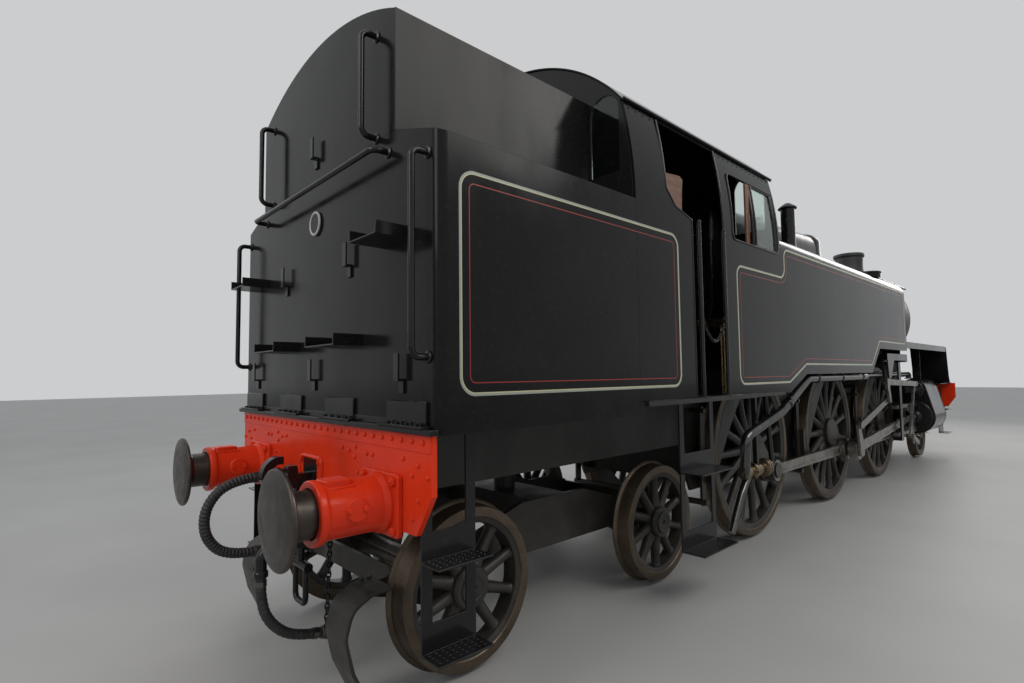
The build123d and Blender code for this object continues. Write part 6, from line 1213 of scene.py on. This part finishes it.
def make_cylinders():
    """Clothe the cylinders and valve chests, with covers, studs and glands."""
    skins, cocks = [], []
    for side in SIDES:
        y = side * CONN_Y
        outline = belt(((y, DRIVER_Z), (y, VALVE_Z)), (CYLINDER_R, CHEST_R), 34)
        skins += [plate(outline, CYL_REAR, CYL_FRONT, "YZ", 0.008),
                  box((CYL_REAR + 0.03, CYL_FRONT - 0.03), (side * 0.65, y), (0.64, VALVE_Z + 0.06), 0.006)]
        skins += [plate(inset(outline, -0.003), band, band + 0.02, "YZ", 0.001)
                  for band in (CYL_REAR + 0.012, CYL_FRONT - 0.032)]
        for x, way in ((CYL_REAR, -1), (CYL_FRONT, 1)):
            out, studs = (way, 0, 0), x + way * 0.027
            cover = ((0.043, 0), (0.272, 0), (0.272, 0.018), (0.262, 0.026), (0.15, 0.03), *COVER_ENDS[way])
            valve = ((0, 0), (0.157, 0), (0.157, 0.02), (0.148, 0.028), (0.07, 0.034), (0.058, 0.05),
                     *VALVE_ENDS[way])
            skins += [turned(cover, (x, y, DRIVER_Z), out, 80, loop=True, bend=0.004),
                      bolts(circle(18, 0.236, (studs, y, DRIVER_Z), 0.1), out, 0.014, 0.016),
                      turned(valve, (x, y, VALVE_Z), out, 64, bend=0.004),
                      bolts(circle(12, 0.128, (studs, y, VALVE_Z)), out, 0.012, 0.014)]
        for x in (CYL_REAR + 0.12, CYL_FRONT - 0.12):
            spout = bent(((x, y, 0.575), (x + 0.03, y, 0.545), (x + 0.2, y, 0.53)), 0.03)
            cocks += [bar((x, y, 0.6), (x, y, 0.565), 0.018), tube(spout, 0.010, 12)]
    make("cylinder_clothing", skins, "fitting_gloss_black", ("cylinders",))
    make("cylinder_drain_cocks", cocks, "brass")


# Cab and bunker: beading, window frames, roof edge, chain, treads, round plate

DOOR_LINE = ((DOOR_REAR, FLOOR_TOP), (DOOR_REAR, DOOR_STEP_Z - 0.06), (DOOR_REAR_HIGH + 0.11, DOOR_STEP_Z),
             (DOOR_REAR_HIGH, DOOR_STEP_Z + 0.11), (DOOR_REAR_HIGH, DOOR_TOP))
WINDOW_X, WINDOW_Z = (-3.349, -2.434), (2.793, 3.363)
SEAT_BACK = ((-4.3, 2.86), (-4.01, 2.86), (-4.0, 3.05), (-3.985, 3.16), (-4.03, 3.178), (-4.3, 3.15))
EDGE_Z, EDGE_RIVETS_Z = 3.545, 3.500     # strip and rivets under the roof


def sheet_y(z):
    """Give the cab side's outside: upright to the waist, then an arc tangent to it up to the gutter."""
    rise, run = GUTTER_Z - WAIST, BODY_HALF - GUTTER_Y
    radius = (run**2 + rise**2) / (2 * run)
    above = np.clip(np.asarray(z, float) - WAIST, 0, radius)
    return BODY_HALF - radius + np.sqrt(radius**2 - above**2)


def on_sheet(points, radius, side, proud=0.0, sides=12):
    """Lay a round strip on the curved cab side along X and Z points."""
    x, z = np.asarray(points, float).T
    return tube(np.stack([x, side * (sheet_y(z) + proud), z], 1), radius, sides)


def between(first, last, count):
    """Give count points from the first place towards the last, without the last."""
    first, last = np.asarray(first, float), np.asarray(last, float)
    return [first + (last - first) * k / count for k in range(count)]


def window_frame(side):
    """Frame the side window: beading all round, four upright bars and two level ones."""
    (rear, front), (low, high) = WINDOW_X, WINDOW_Z
    ring = oblong(WINDOW_X, WINDOW_Z, 0.050, 6)
    dense = []
    for first, last in zip(ring, np.roll(ring, -1, 0)):
        dense += between(first, last, max(int(np.linalg.norm(last - first) / 0.08), 1))
    skins = [on_sheet([*dense, *dense[:2]], 0.009, side)]
    middle = (rear + front) / 2
    rows = np.linspace(low + 0.012, high - 0.012, 9)
    for x in (middle - 0.045, middle + 0.005, front - 0.022, front - 0.05):
        skins.append(on_sheet([(x, z) for z in rows], 0.014, side, -0.010, 10))
    for z in (low + 0.014, high - 0.014):
        y = side * (float(sheet_y(z)) - 0.010)
        skins.append(bar((middle - 0.02, y, z), (front - 0.02, y, z), 0.012))
    return skins, [
        box((rear + 0.05, middle), (side * 1.235, side * 1.331), (low - 0.012, low + 0.008), 0.003),
        box((middle - 0.13, middle - 0.06), (side * 1.29, side * 1.308), (low + 0.006, high - 0.02), 0.003)]


def make_cab_details():
    """Add beading round doorway and windows, roof edge, chain, sills and seat backs."""
    black, wood = [], []
    for side in SIDES:
        line = []
        for first, last in zip(DOOR_LINE, DOOR_LINE[1:]):
            line += between(first, last, 6 if abs(first[1] - last[1]) > 0.3 else 2)
        front = [(DOOR_FRONT, z) for z in np.linspace(FLOOR_TOP, DOOR_TOP, 12)]
        black += [on_sheet(points, 0.010, side, -0.004) for points in ([*line, DOOR_LINE[-1]], front)]
        frame_skins, sills = window_frame(side)
        edge_y, rivet_y = side * 1.262, side * float(sheet_y(EDGE_RIVETS_Z))
        places = [(x, rivet_y, EDGE_RIVETS_Z) for x in np.arange(CAB_REAR + 0.06, CAB_FRONT, 0.085)
                  if not DOOR_REAR_HIGH - 0.02 < x < DOOR_FRONT + 0.02]
        rear_hook, front_hook = ((x, side * RAIL_Y, 2.14) for x in DOOR_RAILS)
        edge = bar((CAB_REAR - 0.008, edge_y, EDGE_Z), (CAB_FRONT + 0.045, edge_y, EDGE_Z), 0.009)
        black += [*frame_skins, edge, rivets(places, (0, side, 0.25), 0.007),
                  *chain(rear_hook, front_hook, 0.0040, 0.017, 0.20)]
        wood += [*sills, plate(rounded(SEAT_BACK, 0.02), side * 1.238, side * 1.262, "XZ", 0.006)]
    make("cab_beading", black, "fitting_gloss_black")
    make("cab_woodwork", wood, "varnished_wood")


# Steps: limits along X and Y, heights of their treads
STEPS = ((-6.254, -5.934, 1.150, 1.300, (0.838, 0.419)), (-4.019, -3.504, 1.180, 1.365, (0.968, 0.398)),
         (5.729, 6.129, 1.080, 1.235, (0.928, 0.478)))
FOOTPLATE_EDGE = (-4.676, -3.950, -3.069)
EDGE_Y = 1.352
STUD_R = 0.007


def make_treads():
    """Raise studs in rows on the steps and bars on the footplate's edge."""
    skins, top = [], FLOOR_TOP + 0.006
    for side in SIDES:
        for rear, front, near, far, heights in STEPS:
            places = [(x, side * y, z) for z in heights for x in np.arange(rear + 0.03, front - 0.01, 0.037)
                      for y in np.arange(near + 0.03, far - 0.012, 0.029)]
            skins.append(rivets(places, UP, STUD_R, 0.0035))
        for limits in zip(FOOTPLATE_EDGE, FOOTPLATE_EDGE[1:]):
            skins.append(box(limits, (side * 1.334, side * 1.3695), (FLOOR_TOP, top)))
        places = [(x, side * EDGE_Y, top) for x in np.arange(-4.64, -3.10, 0.042)]
        skins.append(rivets(places, UP, STUD_R, 0.004))
    make("tread_studs", skins, "fitting_gloss_black")


def make_round_plate():
    """Give the bunker's round plate a raised rim; its face is blank."""
    middle, out = (BUNKER_REAR - 0.0078, 0, 2.673), (-1, 0, 0)
    rim = ((0.06, -0.002), (0.0775, -0.002), (0.0775, 0.007), (0.073, 0.0095), (0.066, 0.0095),
           (0.062, 0.006))
    face = ((0, -0.001), (0.0635, -0.001), (0.0635, 0.0052), (0, 0.0052))
    make("round_plate_rim", [turned(rim, middle, out, 64, loop=True, bend=0.0015)], "plate_silver")
    make("blank_round_plate", [turned(face, middle, out, 64)], "smokebox_matt_black")


# Stage: floor, world, lamps and the camera at the photograph's place

FLOOR_REACH = 60.0
FLOOR_TINTS = ((0.35, 0.345, 0.335), (0.39, 0.385, 0.375))
# Colour and strength of the light that falls on things, and of what is seen behind and in them
WORLD = (((0.92, 0.96, 1.0), 0.62), ((0.60, 0.61, 0.62), 1.0))
LAMP_COLOUR = (1.0, 0.975, 0.94)
# Columns: name, place, aim, size, power
LAMPS = (
    ("overhead_right", (-2.0, -7.0, 7.5), (-1.0, 0.0, 1.6), (9.0, 3.0), 330.0),
    ("overhead_rear", (-12.5, -1.0, 6.5), (-6.0, 0.0, 1.6), (3.0, 6.0), 190.0),
    ("overhead_left", (1.0, 8.0, 7.5), (0.0, 0.0, 1.6), (9.0, 3.0), 240.0),
    ("overhead_front", (12.5, -1.0, 6.5), (6.0, 0.0, 1.8), (3.0, 6.0), 190.0),
)
CAMERA_PLACE = (-7.695, -3.352, 1.703)
CAMERA_YAW, CAMERA_PITCH, CAMERA_ROLL = radians(47.24), radians(3.47), radians(-0.67)
CAMERA_LENS, CAMERA_SENSOR = 19.24, 36.0
CAMERA_NEAR, CAMERA_FAR = 0.05, 300.0


def lay_floor():
    """Lay a wide matt floor at the level of the wheel flanges."""
    mesh = bpy.data.meshes.new("studio_floor")
    corners = [(a * FLOOR_REACH, b * FLOOR_REACH, 0) for a, b in ((-1, -1), (1, -1), (1, 1), (-1, 1))]
    mesh.from_pydata(corners, [], [(0, 1, 2, 3)])
    made = Finish("studio_floor_paint")
    made.set(Base_Color=made.mix(made.between(made.noise(0.6, 3.0), 0.3, 0.7), *FLOOR_TINTS), Roughness=0.55)
    mesh.materials.append(made.material)
    add("studio_floor", mesh)


def light_world():
    """Fill the world with pale light, and show a plain backdrop to the camera and in reflections."""
    world = bpy.context.scene.world = bpy.data.worlds.new("studio")
    world.use_nodes = True
    tree = world.node_tree
    tree.nodes.clear()
    rays = grow(tree, "ShaderNodeLightPath").outputs
    share = rays["Is Camera Ray"]
    for ray in ("Is Glossy Ray", "Is Transmission Ray"):
        inputs = {0: share, 1: rays[ray]}
        share = grow(tree, "ShaderNodeMath", inputs, operation="ADD", use_clamp=True).outputs[0]
    light, backdrop = (grow(tree, "ShaderNodeBackground", {"Color": tint, "Strength": strength}).outputs[0]
                       for tint, strength in WORLD)
    blend = grow(tree, "ShaderNodeMixShader", {0: share, 1: light, 2: backdrop})
    grow(tree, "ShaderNodeOutputWorld", {"Surface": blend.outputs[0]})


def hang_lamps():
    """Hang the soft lamps and turn each to its aim."""
    for name, place, aim, size, power in LAMPS:
        data = adjust(bpy.data.lights.new(name, "AREA"), shape="RECTANGLE", size=size[0], size_y=size[1],
                      energy=power, color=LAMP_COLOUR)
        adjust(add(name, data), location=place, rotation_mode="QUATERNION",
               rotation_quaternion=(Vector(aim) - Vector(place)).to_track_quat("-Z", "Y"))


def place_camera():
    """Stand the camera where the photograph was taken, turned by yaw, pitch and roll."""
    data = adjust(bpy.data.cameras.new("photograph_view"), lens=CAMERA_LENS, sensor_fit="HORIZONTAL",
                  sensor_width=CAMERA_SENSOR, clip_start=CAMERA_NEAR, clip_end=CAMERA_FAR)
    yaw, pitch, roll = CAMERA_YAW, CAMERA_PITCH, CAMERA_ROLL
    ahead = Vector((cos(pitch) * cos(yaw), cos(pitch) * sin(yaw), sin(pitch)))
    flat_right = Vector((sin(yaw), -cos(yaw), 0))
    flat_up = flat_right.cross(ahead)
    right = cos(roll) * flat_right + sin(roll) * flat_up
    up = -sin(roll) * flat_right + cos(roll) * flat_up
    turn = Matrix((right, up, -ahead)).transposed().to_4x4()
    camera = adjust(add("photograph_view", data), matrix_world=Matrix.Translation(CAMERA_PLACE) @ turn)
    bpy.context.scene.camera = camera


# Operators: one for the stage and one for each group of pieces, run in the order of OPERATORS


class ENGINE_OT_stage(bpy.types.Operator):
    """Set the floor, lamps, world and camera"""

    bl_idname = "engine.stage"
    bl_label = "Stage"

    def execute(self, context):
        context.scene.view_settings.view_transform = "Standard"
        lay_floor()
        light_world()
        hang_lamps()
        place_camera()
        return {"FINISHED"}


class ENGINE_OT_finishes(bpy.types.Operator):
    """Make every paint, metal, rubber, wood and glass finish"""

    bl_idname = "engine.finishes"
    bl_label = "Finishes"

    def execute(self, context):
        make_finishes()
        return {"FINISHED"}


class ENGINE_OT_hoses(bpy.types.Operator):
    """Sweep the brake and heating hoses"""

    bl_idname = "engine.hoses"
    bl_label = "Hoses"

    def execute(self, context):
        make_hoses()
        return {"FINISHED"}


class ENGINE_OT_solids(bpy.types.Operator):
    """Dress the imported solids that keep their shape"""

    bl_idname = "engine.solids"
    bl_label = "Plates and rods"

    def execute(self, context):
        dress_solids()
        return {"FINISHED"}


class ENGINE_OT_boiler(bpy.types.Operator):
    """Turn the boiler, smokebox, chimney and dome"""

    bl_idname = "engine.boiler"
    bl_label = "Boiler"

    def execute(self, context):
        make_barrel()
        make_smokebox()
        make_smokebox_door()
        make_chimney_and_dome()
        return {"FINISHED"}


class ENGINE_OT_wheels(bpy.types.Operator):
    """Make the six wheelsets"""

    bl_idname = "engine.wheels"
    bl_label = "Wheels"

    def execute(self, context):
        make_wheels()
        return {"FINISHED"}


class ENGINE_OT_buffers(bpy.types.Operator):
    """Turn the buffers and rivet the beams"""

    bl_idname = "engine.buffers"
    bl_label = "Buffers and beams"

    def execute(self, context):
        make_buffers()
        make_beam_details()
        make_guard_irons()
        return {"FINISHED"}


class ENGINE_OT_lining(bpy.types.Operator):
    """Lay the lining on the sides"""

    bl_idname = "engine.lining"
    bl_label = "Lining"

    def execute(self, context):
        make_lining()
        return {"FINISHED"}


class ENGINE_OT_rails(bpy.types.Operator):
    """Bend the handrails and pipes"""

    bl_idname = "engine.rails"
    bl_label = "Rails and pipes"

    def execute(self, context):
        make_rails()
        make_pipework()
        return {"FINISHED"}


class ENGINE_OT_cylinders(bpy.types.Operator):
    """Clothe the cylinders"""

    bl_idname = "engine.cylinders"
    bl_label = "Cylinders"

    def execute(self, context):
        make_cylinders()
        return {"FINISHED"}


class ENGINE_OT_cab(bpy.types.Operator):
    """Add the cab's beading, frames, chain, treads and the bunker's plate"""

    bl_idname = "engine.cab"
    bl_label = "Cab and bunker details"

    def execute(self, context):
        make_cab_details()
        make_treads()
        make_round_plate()
        return {"FINISHED"}


OPERATORS = (ENGINE_OT_stage, ENGINE_OT_finishes, ENGINE_OT_hoses, ENGINE_OT_solids, ENGINE_OT_boiler,
             ENGINE_OT_wheels, ENGINE_OT_buffers, ENGINE_OT_lining, ENGINE_OT_rails, ENGINE_OT_cylinders,
             ENGINE_OT_cab)


class ENGINE_PT_panel(bpy.types.Panel):
    """List the engine's pieces and looks"""

    bl_idname = "ENGINE_PT_panel"
    bl_label = "Engine"
    bl_space_type = "VIEW_3D"
    bl_region_type = "UI"
    bl_category = "Engine"

    def draw(self, context):
        for name in EngineLooks.__annotations__:
            self.layout.prop(context.scene.engine_looks, name)
        for operator in OPERATORS:
            self.layout.operator(operator.bl_idname)


CLASSES = (EngineLooks, *OPERATORS, ENGINE_PT_panel)


def register():
    for item in CLASSES:
        bpy.utils.register_class(item)
    bpy.types.Scene.engine_looks = PointerProperty(type=EngineLooks)


def unregister():
    del bpy.types.Scene.engine_looks
    for item in reversed(CLASSES):
        bpy.utils.unregister_class(item)


def main():
    """Run every operator in order."""
    register()
    for operator in OPERATORS:
        group, name = operator.bl_idname.split(".")
        getattr(getattr(bpy.ops, group), name)()


if __name__ == "__main__":
    main()
